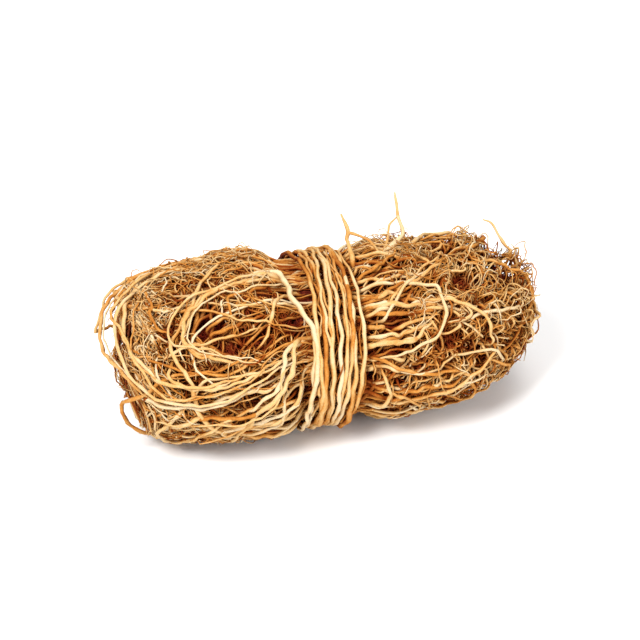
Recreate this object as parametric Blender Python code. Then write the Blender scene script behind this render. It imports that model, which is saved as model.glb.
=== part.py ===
"""A hank of dried vetiver roots, folded back on itself and bound round the middle.

The long roots run out from the waist, bend round in loops at each end and come back.
They stand out of a matted core of fine roots. Three more roots are wound side by side
round the waist and hold the hank together.

Units are metres, +Z is up, X runs along the hank and -Y is its front. The origin is
under the middle of the hank, on the surface that it lies on.
A place on the hank is given by its station (X, in millimetres), its angle round the
hank (0 at the front, 90 on top, 180 at the back, -90 underneath) and its shell (1 on
the hank's surface, less inside it).
"""

import math
import random

import bmesh
import bpy
import numpy as np

MM = 0.001

# Driving dimensions of the hank
HALF_LENGTH = 0.080
HALF_WIDTH = 0.041
HALF_HEIGHT = 0.031
LEFT_ROUNDNESS = 3.4
RIGHT_ROUNDNESS = 2.6
PRESSED_FLAT = 0.0015
MIDDLE_HEIGHT = HALF_HEIGHT - PRESSED_FLAT
LAST_STATION = 0.985 * HALF_LENGTH
END_BEND_FROM = 0.010
END_BEND = 0.008
END_LIFT_FROM = 0.044
END_LIFT = 0.003
BASE_SHIFT = (0.00185, 0.00205)

# The waist that the binding pulls in
WAIST_STATION = -0.001
WAIST_REACH = 0.018
WAIST_SQUARENESS = 6
WAIST_PINCH = 0.13
SLIM_STATION = 0.030
SLIM_REACH = 0.016
SLIM_PINCH = 0.07

# The matted core that the roots stand out of
CORE_SHELL = 0.86
CORE_MAT_SHELL = 0.94
CORE_MAT_FROM = (0.028, 0.060)
CORE_WAIST_SHELL = 0.985
CORE_LUMP = 0.008
CORE_LUMPS = ((3, 160), (5, -330))
CORE_FOOT_SHELL = 1.06
CORE_FOOT_STARTS = (0.018, 0.021)
CORE_FOOT_ENDS = (0.040, 0.052)
CORE_FOOT_BELOW = (0.75, 0.95)
CORE_STATIONS = 26
CORE_SIDES = 20

# Roots of the hank
LOOP_DIAMETERS = (0.0015, 0.0023)
LAYERS = (0.93, 1.005)
LAYER_SPREAD = 0.01
SHELL_SWAY = 0.012
LEFT_LOOPS = 17
RIGHT_LOOPS = 8
LOOP_REACH = (0.048, 0.078)
LOOP_SQUARENESS = (0.55, 0.85)
LOOP_TURN = (70, 175)
LOOP_SWAY = 7
STATION_SWAY = 0.002
RIGHT_RUNS = 12
RUN_LENGTH = (0.045, 0.072)
RUN_TURN = 28
RUN_SWAY = 9
RUN_SINK = 0.16
RUN_SINKS_FROM = 0.82
ROOT_THINS_TO = 0.75
SHOWING_THINS_TO = 0.72
ROOTLET_THINS_TO = 0.6
ROOT_SEGMENTS = 11
ROOT_SIDES = 4
SHOWING_SIDES = 5
ROOTLETS = 36
ROOTLETS_ON_THE_RIGHT = 0.62
ROOTLET_STATIONS = (0.020, 0.074)
ROOTLETS_START = 0.85
ROOTLET_RISE = (0.16, 0.25)
ROOTLET_DRIFT = 0.014
ROOTLET_TURN = 32
ROOTLET_DIAMETER = 0.0009
ROOTLET_SEGMENTS = 4
ROOTLET_SIDES = 3
OFF_THE_FLOOR = 0.0003
UNDER_BINDING = 0.885
ROOTS_SURFACE = (0.0155, 0.0240)
BAND_EDGE = 0.0138
BAND_SHOULDER = 0.022
SLIVER = 0.00015
MENDING_ROUNDS = 12
SEED = 41

# The binding: roots wound side by side round the waist
BINDING_DIAMETER = 0.0016
BINDING_PITCH = 0.0018
BINDING_TURNS = (4, 3, 3)
BINDING_GAP = 0.03
BINDING_ENDS_AT = 205
BINDING_SLANT = 0.003
BINDING_LEANS_AT = 10
BINDING_SIDES = 5
BINDING_STEPS = 22
CLEARANCE = 0.0004

# Roots that show by themselves: diameter in mm, then (station, angle, shell) on the way
SHOWING_ROOTS = {
    "inner_loop": (2.6, (
        (3, 84, 0.9), (-10, 90, 1.0), (-26, 86, 1.01), (-41, 79, 1.02), (-51, 66, 1.02),
        (-54, 52, 1.02), (-48, 41, 1.02), (-36, 33, 1.0), (-22, 30, 0.9),
    )),
    "outer_loop": (2.5, (
        (-35, 118, 0.9), (-52, 118, 0.99), (-63, 108, 1.02), (-71, 84, 1.02), (-73, 64, 1.02),
        (-69, 38, 1.02), (-59, 22, 1.03), (-40, 20, 1.03), (-24, 30, 1.01), (-8, 36, 0.9),
    )),
    "far_loop": (2.3, (
        (-40, 140, 0.88), (-60, 132, 0.99), (-74, 122, 1.01), (-79, 98, 1.02), (-79.5, 70, 1.02),
        (-77, 35, 1.01), (-71, 10, 0.98), (-60, -10, 0.95), (-42, -18, 0.86),
    )),
    "low_branch": (3.0, (
        (0, 44, 0.9), (-14, 42, 1.0), (-16, 30, 1.03), (-19, 17, 1.05), (-25, 8, 1.05),
        (-33, -8, 1.03), (-39, -33, 1.0), (-45, -52, 0.88),
    )),
    "low_branch_twin": (2.2, (
        (-2, 20, 0.9), (-13, 18, 1.0), (-16, 2, 1.02), (-25, -12, 1.02), (-42, -16, 1.0),
        (-60, -18, 0.98), (-68, -30, 0.87),
    )),
    "cross_root": (2.2, (
        (-8, 78, 0.9), (-18, 72, 1.0), (-22, 58, 1.0), (-27, 44, 0.99), (-34, 38, 0.88),
    )),
    "bent_root": (2.1, (
        (4, 72, 0.9), (18, 73, 1.0), (28, 71, 1.03), (36, 67, 1.04), (39.5, 58, 1.04),
        (39, 46, 1.04), (36, 34, 1.03), (28, 28, 1.02), (18, 24, 1.0), (4, 20, 0.9),
    )),
    "right_fall": (2.2, (
        (26, 62, 0.88), (36, 58, 1.0), (46, 52, 1.03), (54, 38, 1.03), (58, 18, 1.0),
        (60, 4, 0.86),
    )),
    "right_hook": (2.0, (
        (24, 50, 0.88), (36, 52, 0.99), (45, 46, 1.0), (46, 36, 1.0), (38, 34, 0.97),
        (30, 38, 0.86),
    )),
    "side_root": (2.8, (
        (4, 60, 0.9), (16, 60, 0.98), (28, 57, 0.99), (38, 55, 0.98), (48, 48, 0.97),
        (58, 30, 0.88),
    )),
    "side_root_low": (2.8, (
        (4, 36, 0.9), (17, 36, 0.98), (28, 39, 0.99), (36, 42, 0.98), (44, 36, 0.88),
    )),
    "right_end_root": (1.9, (
        (44, 92, 0.88), (58, 84, 0.99), (71, 74, 1.01), (77, 56, 1.01), (77, 32, 1.0),
        (71, 10, 0.98), (60, -6, 0.96), (48, -18, 0.87),
    )),
    "right_belly": (2.4, (
        (2, -8, 0.9), (20, -14, 0.99), (38, -12, 1.02), (52, 2, 1.02), (60, 12, 0.98),
        (66, 16, 0.86),
    )),
    "top_cross": (1.9, (
        (10, 52, 0.9), (22, 62, 1.0), (34, 78, 1.02), (46, 94, 1.0), (54, 104, 0.87),
    )),
}

# Roots that stand up free of the hank, given in the same way
STANDING_ROOTS = {
    "waist_spike": (1.8, (
        (15.6, 95, 0.86), (13.6, 100, 1.0), (11.6, 104, 1.13), (10, 107, 1.25), (9.7, 108, 1.35),
        (7.7, 111, 1.55),
    )),
    "waist_spike_branch": (1.1, (
        (9.7, 108, 1.33), (13.8, 106, 1.21), (18.2, 104, 1.12), (22.7, 101, 1.02), (26, 98, 0.88),
    )),
    "fork_stem": (2.1, (
        (25.6, 101, 0.88), (26.6, 104, 1.0), (28.4, 106, 1.11), (28.3, 107, 1.19), (24.7, 111, 1.34),
    )),
    "fork_tip": (1.3, (
        (26.6, 109, 1.26), (24.7, 111, 1.34), (21.4, 115, 1.58),
    )),
    "fork_twin": (1.2, (
        (26, 101, 0.9), (25.7, 106, 1.05), (24.9, 108, 1.14), (23.6, 110, 1.25), (24.4, 111, 1.33),
    )),
    "end_spike": (1.2, (
        (77, 99, 0.9), (74, 106, 1.0), (71, 109, 1.02), (66.6, 111, 1.06), (60, 114, 1.14),
        (56.4, 115, 1.16),
    )),
}


def narrow(x):
    """How wide and high the hank is at this station, as a share. The binding pulls it in at the waist,
    and the right lobe starts slimmer than the left one."""
    pinch = WAIST_PINCH * np.exp(-(((x - WAIST_STATION) / WAIST_REACH) ** WAIST_SQUARENESS))
    return 1 - pinch - SLIM_PINCH * np.exp(-(((x - SLIM_STATION) / SLIM_REACH) ** 2))


def roundness(x):
    """The hank's left end is squarer than its right end."""
    return np.where(x < 0, LEFT_ROUNDNESS, RIGHT_ROUNDNESS)


def fullness(points):
    """1 for a point on the hank's surface, less inside it."""
    x, y, z = points.T
    across = np.hypot(y / HALF_WIDTH, (z - MIDDLE_HEIGHT) / HALF_HEIGHT) / narrow(x)
    power = roundness(x)
    return (np.abs(x / HALF_LENGTH) ** power + across**power) ** (1 / power)


def on_shell(points, shell):
    """Moves points towards or away from the hank's middle until they lie on that shell."""
    middle = np.array([0, 0, MIDDLE_HEIGHT])
    for _ in range(6):
        points = middle + (points - middle) * (shell / fullness(points))[:, None]
    return points


def place(station, angle, shell=1.0):
    """Points at these stations (m) and angles (degrees), on these shells."""
    station, angle = np.broadcast_arrays(np.asarray(station, float), np.radians(angle))
    power = roundness(station)
    end = np.clip(1 - np.abs(station / HALF_LENGTH) ** power, 0.002, 1) ** (1 / power)
    reach = end * narrow(station)
    y = -HALF_WIDTH * reach * np.cos(angle)
    z = MIDDLE_HEIGHT + HALF_HEIGHT * reach * np.sin(angle)
    return on_shell(np.stack([station, y, z], axis=-1), np.broadcast_to(shell, station.shape))


def bent(points):
    """The right end of the hank curves to the back, and its tip is lifted a little."""
    bend = np.clip((points[:, 0] - END_BEND_FROM) / (HALF_LENGTH - END_BEND_FROM), 0, None)
    lift = np.clip((points[:, 0] - END_LIFT_FROM) / (HALF_LENGTH - END_LIFT_FROM), 0, None)
    return points + np.stack([0 * bend, END_BEND * bend**2, END_LIFT * lift**2], axis=-1)


def smooth_step(value, low, high):
    t = np.clip((value - low) / (high - low), 0, 1)
    return t * t * (3 - 2 * t)


def smooth_path(knots, count):
    """count rows, evenly spaced along a Catmull-Rom curve through the knots."""
    knots = np.asarray(knots, float)
    padded = np.vstack([2 * knots[0] - knots[1], knots, 2 * knots[-1] - knots[-2]])
    fine = []
    for i in range(len(knots) - 1):
        before, here, there, after = padded[i : i + 4]
        t = np.linspace(0, 1, 12, endpoint=False)[:, None]
        fine.append(0.5 * (2 * here + (there - before) * t
                           + (2 * before - 5 * here + 4 * there - after) * t**2
                           + (3 * here - before - 3 * there + after) * t**3))
    fine = np.vstack([*fine, knots[-1:]])
    return evenly(fine, count)


def evenly(points, count):
    """The same path with count points, evenly spaced by the first three columns."""
    steps = np.linalg.norm(np.diff(points[:, :3], axis=0), axis=1)
    along = np.concatenate([[0], np.cumsum(steps)])
    wanted = np.linspace(0, along[-1], count)
    return np.stack([np.interp(wanted, along, column) for column in points.T], axis=-1)


def sway(rng, count, waves=(1.5, 4)):
    """A gentle wander between -1 and 1 along a root, of a few random waves."""
    t = np.linspace(0, 1, count)
    return sum(np.sin(2 * np.pi * (rng.uniform(*waves) * t + rng.random())) for _ in range(2)) / 2


def keep_in_place(points, shell, radius):
    """Roots dive under the binding at the waist, and lie on the floor without crossing it."""
    out = smooth_step(np.abs(points[:, 0] - WAIST_STATION), *ROOTS_SURFACE)
    points = on_shell(points, np.minimum(shell, UNDER_BINDING + (1.5 - UNDER_BINDING) * out))
    points[:, 2] = np.maximum(points[:, 2], radius + OFF_THE_FLOOR)
    return points


def knot_path(knots, count):
    """count points, and their shells, on a root that goes through these places."""
    station, angle, shell = np.array(knots, float).T
    corners = place(station * MM, angle, shell)
    path = smooth_path(np.column_stack([corners, shell]), count)
    return path[:, :3], path[:, 3]


def loop_route(rng, start, side, count, radius):
    """Out from the waist, round a bend at the end of the hank and back to the waist."""
    turn = rng.choice((-1, 1)) * rng.uniform(*LOOP_TURN)
    reach = rng.uniform(*LOOP_REACH)
    squareness = rng.uniform(*LOOP_SQUARENESS)
    shell = rng.choice(LAYERS) + rng.uniform(-LAYER_SPREAD, LAYER_SPREAD)
    t = np.linspace(0, 1, 4 * count)
    station = WAIST_STATION + side * reach * np.sin(np.pi * t) ** squareness
    angle = start + turn * (1 - np.cos(np.pi * t)) / 2 + LOOP_SWAY * sway(rng, len(t))
    station = station + STATION_SWAY * sway(rng, len(t))
    station = np.clip(station, -LAST_STATION, LAST_STATION)
    path = evenly(place(station, angle), count)
    return keep_in_place(path, shell + SHELL_SWAY * sway(rng, count), radius)


def run_route(rng, start, side, count, radius):
    """Out from the waist and along the hank, sinking into the mat before the end."""
    length = rng.uniform(*RUN_LENGTH)
    shell = rng.choice(LAYERS) + rng.uniform(-LAYER_SPREAD, LAYER_SPREAD)
    t = np.linspace(0, 1, count)
    station = WAIST_STATION + side * length * t
    angle = start + rng.uniform(-RUN_TURN, RUN_TURN) * t + RUN_SWAY * sway(rng, count) * t
    shells = shell + SHELL_SWAY * sway(rng, count) - RUN_SINK * smooth_step(t, RUN_SINKS_FROM, 1)
    return keep_in_place(place(station, angle), shells, radius)


def rootlet_route(rng, count):
    """A fine root that stands out of the mat, more often near the right-hand end."""
    side = 1 if rng.random() < ROOTLETS_ON_THE_RIGHT else -1
    station = side * rng.uniform(*ROOTLET_STATIONS)
    angle = rng.uniform(-70, 250)
    t = np.linspace(0, 1, count)
    drift = rng.uniform(-ROOTLET_DRIFT, ROOTLET_DRIFT)
    station = station + drift * t + STATION_SWAY * t * sway(rng, count)
    station = np.clip(station, -LAST_STATION, LAST_STATION)
    angle = angle + rng.uniform(-ROOTLET_TURN, ROOTLET_TURN) * t
    shells = ROOTLETS_START + rng.uniform(*ROOTLET_RISE) * t**0.8
    points = place(station, angle, shells)
    points[:, 2] = np.maximum(points[:, 2], ROOTLET_DIAMETER)
    return points


def tube(points, radii, sides):
    """Vertices and faces of a closed tube along the points, with a blunt tip at each end."""
    steps = np.gradient(points, axis=0)
    ahead = steps / np.linalg.norm(steps, axis=1)[:, None]
    across = np.cross(ahead[0], (0.31, 0.52, 0.79))
    rings = []
    for centre, direction, radius in zip(points, ahead, radii):
        across = across - direction * (across @ direction)
        across = across / np.linalg.norm(across)
        other = np.cross(direction, across)
        turn = 2 * np.pi * np.arange(sides) / sides
        rings.append(centre + radius * (np.outer(np.cos(turn), across) + np.outer(np.sin(turn), other)))
    tips = [points[0] - ahead[0] * radii[0], points[-1] + ahead[-1] * radii[-1]]
    vertices = np.vstack([*rings, *tips])
    first_tip, last_tip = len(vertices) - 2, len(vertices) - 1
    faces = []
    for i in range(len(points) - 1):
        for j in range(sides):
            k = (j + 1) % sides
            low, high = i * sides, (i + 1) * sides
            faces.append((low + j, low + k, high + k, high + j))
    last_ring = (len(points) - 1) * sides
    for j in range(sides):
        k = (j + 1) % sides
        faces.append((first_tip, k, j))
        faces.append((last_tip, last_ring + j, last_ring + k))
    return vertices, faces


def new_object(name, vertices, faces, collection):
    mesh = bpy.data.meshes.new(name)
    mesh.from_pydata([tuple(v) for v in bent(vertices)], [], faces)
    mesh.update()
    made = bpy.data.objects.new(name, mesh)
    collection.objects.link(made)
    return made


def new_material(name, colour, roughness):
    material = bpy.data.materials.new(name)
    material.use_nodes = True
    shader = material.node_tree.nodes["Principled BSDF"]
    shader.inputs["Base Color"].default_value = (*colour, 1)
    shader.inputs["Roughness"].default_value = roughness
    shader.inputs["Metallic"].default_value = 0
    return material


def core(collection):
    """The matted middle of the hank. It swells to the full waist under the binding and is fuller where
    the fine rootlets mat the right end, and it is pressed flat on the surface that it lies on."""
    ends = np.linspace(-1, 1, CORE_STATIONS)
    stations = LAST_STATION * np.sin(ends * np.pi / 2)
    angles = 360 * np.arange(CORE_SIDES) / CORE_SIDES
    turn = np.radians(angles)
    below = smooth_step(-np.sin(turn), *CORE_FOOT_BELOW)
    vertices = []
    for station in stations[1:-1]:
        from_waist = abs(station - WAIST_STATION)
        out = smooth_step(from_waist, BAND_EDGE, BAND_SHOULDER)
        lumps = CORE_LUMP * sum(np.sin(round_it * turn + along * station) for round_it, along in CORE_LUMPS)
        foot = below * smooth_step(from_waist, *CORE_FOOT_STARTS)
        foot = foot * (1 - smooth_step(from_waist, *CORE_FOOT_ENDS))
        mat = CORE_SHELL + (CORE_MAT_SHELL - CORE_SHELL) * smooth_step(station, *CORE_MAT_FROM)
        lobe = mat + lumps + (CORE_FOOT_SHELL / narrow(station) - mat) * foot
        shell = CORE_WAIST_SHELL + (lobe - CORE_WAIST_SHELL) * out
        vertices.append(place(np.full(CORE_SIDES, station), angles, shell))
    tips = np.array([[stations[0], 0, MIDDLE_HEIGHT], [stations[-1], 0, MIDDLE_HEIGHT]])
    tips = on_shell(tips, np.array([CORE_SHELL, CORE_MAT_SHELL]))
    vertices = np.vstack([*vertices, tips])
    vertices[:, 2] = np.maximum(vertices[:, 2], 0)
    rings = CORE_STATIONS - 2
    left_tip, right_tip = len(vertices) - 2, len(vertices) - 1
    faces = []
    for j in range(CORE_SIDES):
        k = (j + 1) % CORE_SIDES
        faces.append((left_tip, j, k))
        faces.append((right_tip, (rings - 1) * CORE_SIDES + k, (rings - 1) * CORE_SIDES + j))
        for i in range(rings - 1):
            low, high = i * CORE_SIDES, (i + 1) * CORE_SIDES
            faces.append((low + j, high + j, high + k, low + k))
    return new_object("root_hank", vertices, faces, collection)


def main_roots():
    """(points, radii, sides) of every root and rootlet of the hank."""
    roots = []
    for name, (diameter, knots) in {**SHOWING_ROOTS, **STANDING_ROOTS}.items():
        radius = diameter * MM / 2
        path, shells = knot_path(knots, 2 * len(knots))
        if name in SHOWING_ROOTS:
            path = keep_in_place(path, shells, radius)
        roots.append((path, radius * np.linspace(1, SHOWING_THINS_TO, len(path)), SHOWING_SIDES))
    kinds = ((loop_route, -1, LEFT_LOOPS), (loop_route, 1, RIGHT_LOOPS), (run_route, 1, RIGHT_RUNS))
    for kind, (route, side, number) in enumerate(kinds):
        for i in range(number):
            rng = random.Random(SEED + 1000 * kind + i)
            radius = rng.uniform(*LOOP_DIAMETERS) / 2
            start = 360 * (i + rng.random()) / number
            path = route(rng, start, side, ROOT_SEGMENTS + 1, radius)
            roots.append((path, radius * np.linspace(1, ROOT_THINS_TO, len(path)), ROOT_SIDES))
    for i in range(ROOTLETS):
        rng = random.Random(SEED + 5000 + i)
        path = rootlet_route(rng, ROOTLET_SEGMENTS + 1)
        radii = ROOTLET_DIAMETER / 2 * np.linspace(1, ROOTLET_THINS_TO, len(path))
        roots.append((path, radii, ROOTLET_SIDES))
    return roots


def collapse_touching_edges(bm):
    """Closes to a point each edge along which the union left a sliver touching the surface."""
    for _ in range(MENDING_ROUNDS):
        touching = [edge for edge in bm.edges if len(edge.link_faces) != 2]
        if not touching:
            return
        bmesh.ops.collapse(bm, edges=touching)
        bmesh.ops.triangulate(bm, faces=bm.faces)


def islands_of(bm):
    """The closed shells of a mesh, as sets of faces."""
    unseen = set(bm.faces)
    islands = []
    while unseen:
        island = {unseen.pop()}
        front = list(island)
        while front:
            near = {other for edge in front.pop().edges for other in edge.link_faces} & unseen
            unseen -= near
            island |= near
            front.extend(near)
        islands.append(island)
    return islands


def keep_largest_shell(obj):
    """Deletes the closed hollows and loose scraps that a union of crossing roots leaves."""
    bm = bmesh.new()
    bm.from_mesh(obj.data)
    bmesh.ops.triangulate(bm, faces=bm.faces)
    bmesh.ops.dissolve_degenerate(bm, dist=SLIVER, edges=bm.edges)
    bmesh.ops.triangulate(bm, faces=bm.faces)
    collapse_touching_edges(bm)
    islands = islands_of(bm)
    largest = max(islands, key=len)
    loose = [face for island in islands if island is not largest for face in island]
    bmesh.ops.delete(bm, geom=loose, context="FACES")
    bm.to_mesh(obj.data)
    bm.free()


def build_hank(collection):
    hank = core(collection)
    roots = bpy.data.collections.new("roots")
    bpy.context.scene.collection.children.link(roots)
    for i, (path, radii, sides) in enumerate(main_roots()):
        new_object(f"root_{i}", *tube(path, radii, sides), roots)
    union = hank.modifiers.new("fuse", "BOOLEAN")
    union.operation = "UNION"
    union.operand_type = "COLLECTION"
    union.collection = roots
    union.solver = "EXACT"
    graph = bpy.context.evaluated_depsgraph_get()
    fused = bpy.data.meshes.new_from_object(hank.evaluated_get(graph))
    hank.modifiers.clear()
    hank.data = fused
    for root in list(roots.objects):
        bpy.data.objects.remove(root)
    bpy.data.collections.remove(roots)
    keep_largest_shell(hank)
    return hank


def binding_turns(number, turns, first_turn):
    """One root wound turns times round the waist, its two ends lying at the back."""
    rng = random.Random(SEED + 9000 + number)
    count = turns * BINDING_STEPS
    wound = first_turn + np.linspace(0, turns - BINDING_GAP, count)
    angle = BINDING_ENDS_AT + 360 * wound
    station = WAIST_STATION + BINDING_PITCH * (wound - sum(BINDING_TURNS) / 2)
    station = station + BINDING_SLANT * np.sin(np.radians(angle - BINDING_LEANS_AT))
    radius = BINDING_DIAMETER / 2
    base = place(station, angle)
    outwards = base - place(station, angle, UNDER_BINDING)
    outwards = outwards / np.linalg.norm(outwards, axis=1)[:, None]
    path = base + outwards * (radius + CLEARANCE)
    radii = radius * (0.96 + 0.04 * sway(rng, count, (3, 9)))
    return tube(path, radii, BINDING_SIDES)


def main():
    for obj in list(bpy.data.objects):
        bpy.data.objects.remove(obj)
    collection = bpy.context.scene.collection
    golden = new_material("golden_root", (0.62, 0.36, 0.13), 0.75)
    pale = new_material("pale_root", (0.78, 0.55, 0.25), 0.7)
    hank = build_hank(collection)
    hank.data.materials.clear()
    hank.data.materials.append(golden)
    parts = [hank]
    for number, turns in enumerate(BINDING_TURNS):
        wound = binding_turns(number, turns, sum(BINDING_TURNS[:number]))
        root = new_object(f"binding_root_{number + 1}", *wound, collection)
        root.data.materials.append(pale)
        parts.append(root)
    for part in parts:
        part.data.shade_smooth()
        part.data.set_sharp_from_angle(angle=math.radians(50))
        part.location.x, part.location.y = BASE_SHIFT


main()
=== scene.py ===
"""The looks of a hank of dried vetiver roots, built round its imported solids.

Thousands of roots are drawn as thin tubes that follow the hank's surface. The named ones and
the main loops repeat the routes of the solids, from the same values and the same random draws.
A place on the hank is given by its station (X), its angle round the hank (0 at the front, 90 on
top, 180 at the back, -90 underneath) and its shell (1 on the hank's surface, less inside it).
Units are metres. The camera looks from the photograph's side.
"""

import math
import random

import bpy
import numpy as np
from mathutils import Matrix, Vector


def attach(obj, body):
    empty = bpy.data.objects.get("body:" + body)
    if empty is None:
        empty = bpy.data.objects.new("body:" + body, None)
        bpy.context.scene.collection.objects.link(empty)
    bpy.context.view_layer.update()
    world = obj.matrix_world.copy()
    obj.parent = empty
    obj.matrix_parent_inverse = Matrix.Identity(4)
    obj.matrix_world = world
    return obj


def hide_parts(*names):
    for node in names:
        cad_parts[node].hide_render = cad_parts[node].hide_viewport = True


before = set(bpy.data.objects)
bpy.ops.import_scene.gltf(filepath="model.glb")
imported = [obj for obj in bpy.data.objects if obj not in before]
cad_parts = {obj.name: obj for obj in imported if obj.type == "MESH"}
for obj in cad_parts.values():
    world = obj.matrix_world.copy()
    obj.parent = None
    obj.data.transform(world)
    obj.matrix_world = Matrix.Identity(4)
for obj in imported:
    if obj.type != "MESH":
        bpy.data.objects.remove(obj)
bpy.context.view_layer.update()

MM = 0.001

# The hank's form, as in its solids
HALF_LENGTH = 0.080
HALF_WIDTH = 0.041
HALF_HEIGHT = 0.031
LEFT_ROUNDNESS = 3.4
RIGHT_ROUNDNESS = 2.6
PRESSED_FLAT = 0.0015
MIDDLE_HEIGHT = HALF_HEIGHT - PRESSED_FLAT
LAST_STATION = 0.985 * HALF_LENGTH
END_BEND_FROM = 0.010
END_BEND = 0.008
END_LIFT_FROM = 0.044
END_LIFT = 0.003
BASE_SHIFT = (0.00185, 0.00205)
WAIST_STATION = -0.001
WAIST_REACH = 0.018
WAIST_SQUARENESS = 6
WAIST_PINCH = 0.13
SLIM_STATION = 0.030
SLIM_REACH = 0.016
SLIM_PINCH = 0.07

# Main roots, as in the solids
LOOP_DIAMETERS = (0.0015, 0.0023)
LAYERS = (0.93, 1.005)
LAYER_SPREAD = 0.01
SHELL_SWAY = 0.012
LEFT_LOOPS = 17
RIGHT_LOOPS = 8
LOOP_REACH = (0.048, 0.078)
LOOP_SQUARENESS = (0.55, 0.85)
LOOP_TURN = (70, 175)
LOOP_SWAY = 7
STATION_SWAY = 0.002
RIGHT_RUNS = 12
RUN_LENGTH = (0.045, 0.072)
RUN_TURN = 28
RUN_SWAY = 9
RUN_SINK = 0.16
RUN_SINKS_FROM = 0.82
SEED = 41

# How much thinner the roots show than in the solids or in the photograph, and how far the finer ones
# weave up and down in shells
SLIMMER = 0.72
SHOWING_SLIMMER = 0.65
FINER_SLIMMER = 0.92
WEAVE = 0.028

# The binding's turns, as in the solids but for their unevenness, and the thin roots tucked between them
BINDING_DIAMETER = 0.0016
BINDING_PITCH = 0.0018
BINDING_TURNS = (4, 3, 3)
BINDING_GAP = 0.03
BINDING_ENDS_AT = 205
BINDING_SLANT = 0.003
BINDING_LEANS_AT = 10
BINDING_WAVE = 0.0014
BINDING_PILE = 0.0009
# Painted shade: how deep the binding's lowest stretches and its tucked roots are painted
BINDING_SHADE_DEPTH = 0.965
BINDING_THICKNESS = (1.08, 0.30)
BINDING_TONES = (0.58, 0.42)
BINDING_KINKS = (0.0006, (0.010, 0.030))
BINDING_ENDS = (0.7, 0.6)
BINDING_FIBRES = 26
FIBRE_TURN = (80, 230)
FIBRE_REACH = 0.0075
FIBRE_STRAY = 0.0015
FIBRE_SHELL, FIBRE_SPREAD, FIBRE_WEAVE, FIBRE_TUCK = 1.035, 0.03, 0.015, 0.10
FIBRE_RADII = (0.00030, 0.00062)
FIBRE_ENDS = (0.6, 0.5)
FIBRE_KINK = 0.0005
FIBRE_TONES = (0.50, 0.2)
BAND_EDGE_TONE = 0.85

# How the finer roots keep clear of the binding, the floor and the open gap at the left end
UNDER_BINDING = 0.95
ROOTS_SURFACE = (0.0125, 0.0215)
FREE_SHELL = 1.6
OFF_THE_FLOOR = 0.0003
RIGHT_EDGE = 0.0800
GAP_EDGES = (-0.0715, -0.0640)
BELOW_GAP = 0.0025
GAP_HEIGHTS = (-0.008, -0.002)
LOWER_CORNER = 0.005
CORNER_HEIGHTS = (0.012, 0.034)

# The few fine roots that cross the gap
GAP_ROOTLETS = 14
GAP_START, GAP_WIDTH = -0.066, 0.0125
GAP_ANGLES, GAP_TURNS = (20, 115), (-22, 22)
GAP_RADII = (0.00014, 0.00028)

# Painted shade by depth in the mat: how much less painted shade the open left end gets, and how much painted
# shade darkens a root's inner side
UNSHADED_END = 0.04
UNSHADED_STATIONS = (0.056, 0.066)
INNER_SIDE_SHADE = 0.05

# Hollows between the roots that the camera sees, where the finer roots sink deep and are painted dark by the
# depth shade: (station in mm, angle, radius in mm)
HOLLOWS = (
    (-46, 62, 4.7), (-39, 46, 2.9), (-29, 48, 2.9), (-12, 76, 3.3), (-15, 54, 2.5), (-60, 60, 2.9),
    (-41, 90, 2.5), (-41, 4, 2.5), (-37, 5, 2.5), (-33, 7, 2.5), (-25, 24, 2.5), (-15, 4, 2.9),
    (-54, 19, 2.2), (-45, 29, 2.2), (-57, 34, 1.8), (-20, -20, 2.2), (-54, -30, 1.8), (-52, 82, 2.2),
    (-29, 63, 2.2), (-65, 72, 2.2), (-64, 48, 2.2), (-22, 77, 2.2), (21, 46, 3.3), (28, 61, 2.2),
    (12, 59, 2.5), (28, 88, 2.2), (20, 85, 2.5), (11, 87, 2.2), (40, 31, 2.9), (43, 47, 2.2),
    (21, 30, 2.9), (15, 28, 2.2), (51, 70, 2.9), (54, 47, 2.2), (57, 22, 2.2), (66, 8, 2.5),
    (9, -1, 2.5), (29, 12, 2.2), (40, 9, 2.2), (39, -16, 1.8), (5, -23, 2.2), (49, 18, 2.7),
    (39, 91, 2.2), (21, 10, 2.2),
)

# Hollows on the unseen sides, how all of them fall away, and the rim that can be seen through:
# (station, angle, radius)
UNSEEN_HOLLOWS = 70
UNSEEN_HOLLOW_RADII = (0.0020, 0.0042)
UNSEEN_STATIONS = (0.016, 0.070)
UNSEEN_ANGLES = (100, 330)
HOLLOW_SHELL = 0.77
HOLLOW_RIM = (1.0, 2.3)
HOLLOW_GROWTH = 1.3
STEEPEST = 32
WIDE_HOLLOW = 0.0034
OPEN_RIM = (0.071, 92, 0.0075)
RIM_SHARE = 0.22

# The matted core: its shells at the waist and elsewhere, its lumps, and its foot on the floor
CORE_STATIONS, CORE_SIDES = 96, 84
CORE_WAIST_SHELL, CORE_SHELL = 0.91, 0.77
CORE_WAIST = (0.0105, 0.019)
CORE_LUMPS = ((0.012, 190, 5), (0.010, 420, 9), (0.008, 900, 17), (0.006, 1500, 29))
CORE_FOOT = 0.12
CORE_FOOT_SIDES = (0.75, 0.95)
CORE_FOOT_STATIONS = (0.04, 0.052)

# Wavelengths of the kinks and of the changes of thickness along a root
LONG_KINKS = (0.012, 0.034)
SHORT_KINKS = (0.006, 0.013)
LUMPS = (0.005, 0.020)
RIDGES = (0.004, 0.020)

# Kinks of the medium roots, of the main ones and of the standing ones: size, then wavelengths
MEDIUM_KINKS = ((0.0008, LONG_KINKS), (0.0004, SHORT_KINKS))
MAIN_KINKS = ((0.000715, LONG_KINKS), (0.000396, SHORT_KINKS))
STANDING_KINKS = 0.0003 / 0.0011

# How many waves a root sways in, and how rootlets and side roots rise and curl
SWAY_WAVES = (1.5, 4)
ROOTLET_WAVES = (1.5, 5)
ROOTLET_SWAY, ROOTLET_CURL, ROOTLET_WIGGLE = 0.02, 0.30, 1.2
TWIG_RISE = (0.0, 0.03)
TWIG_SLANT = (0.3, 0.9)
TWIG_BEND = 0.16

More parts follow.
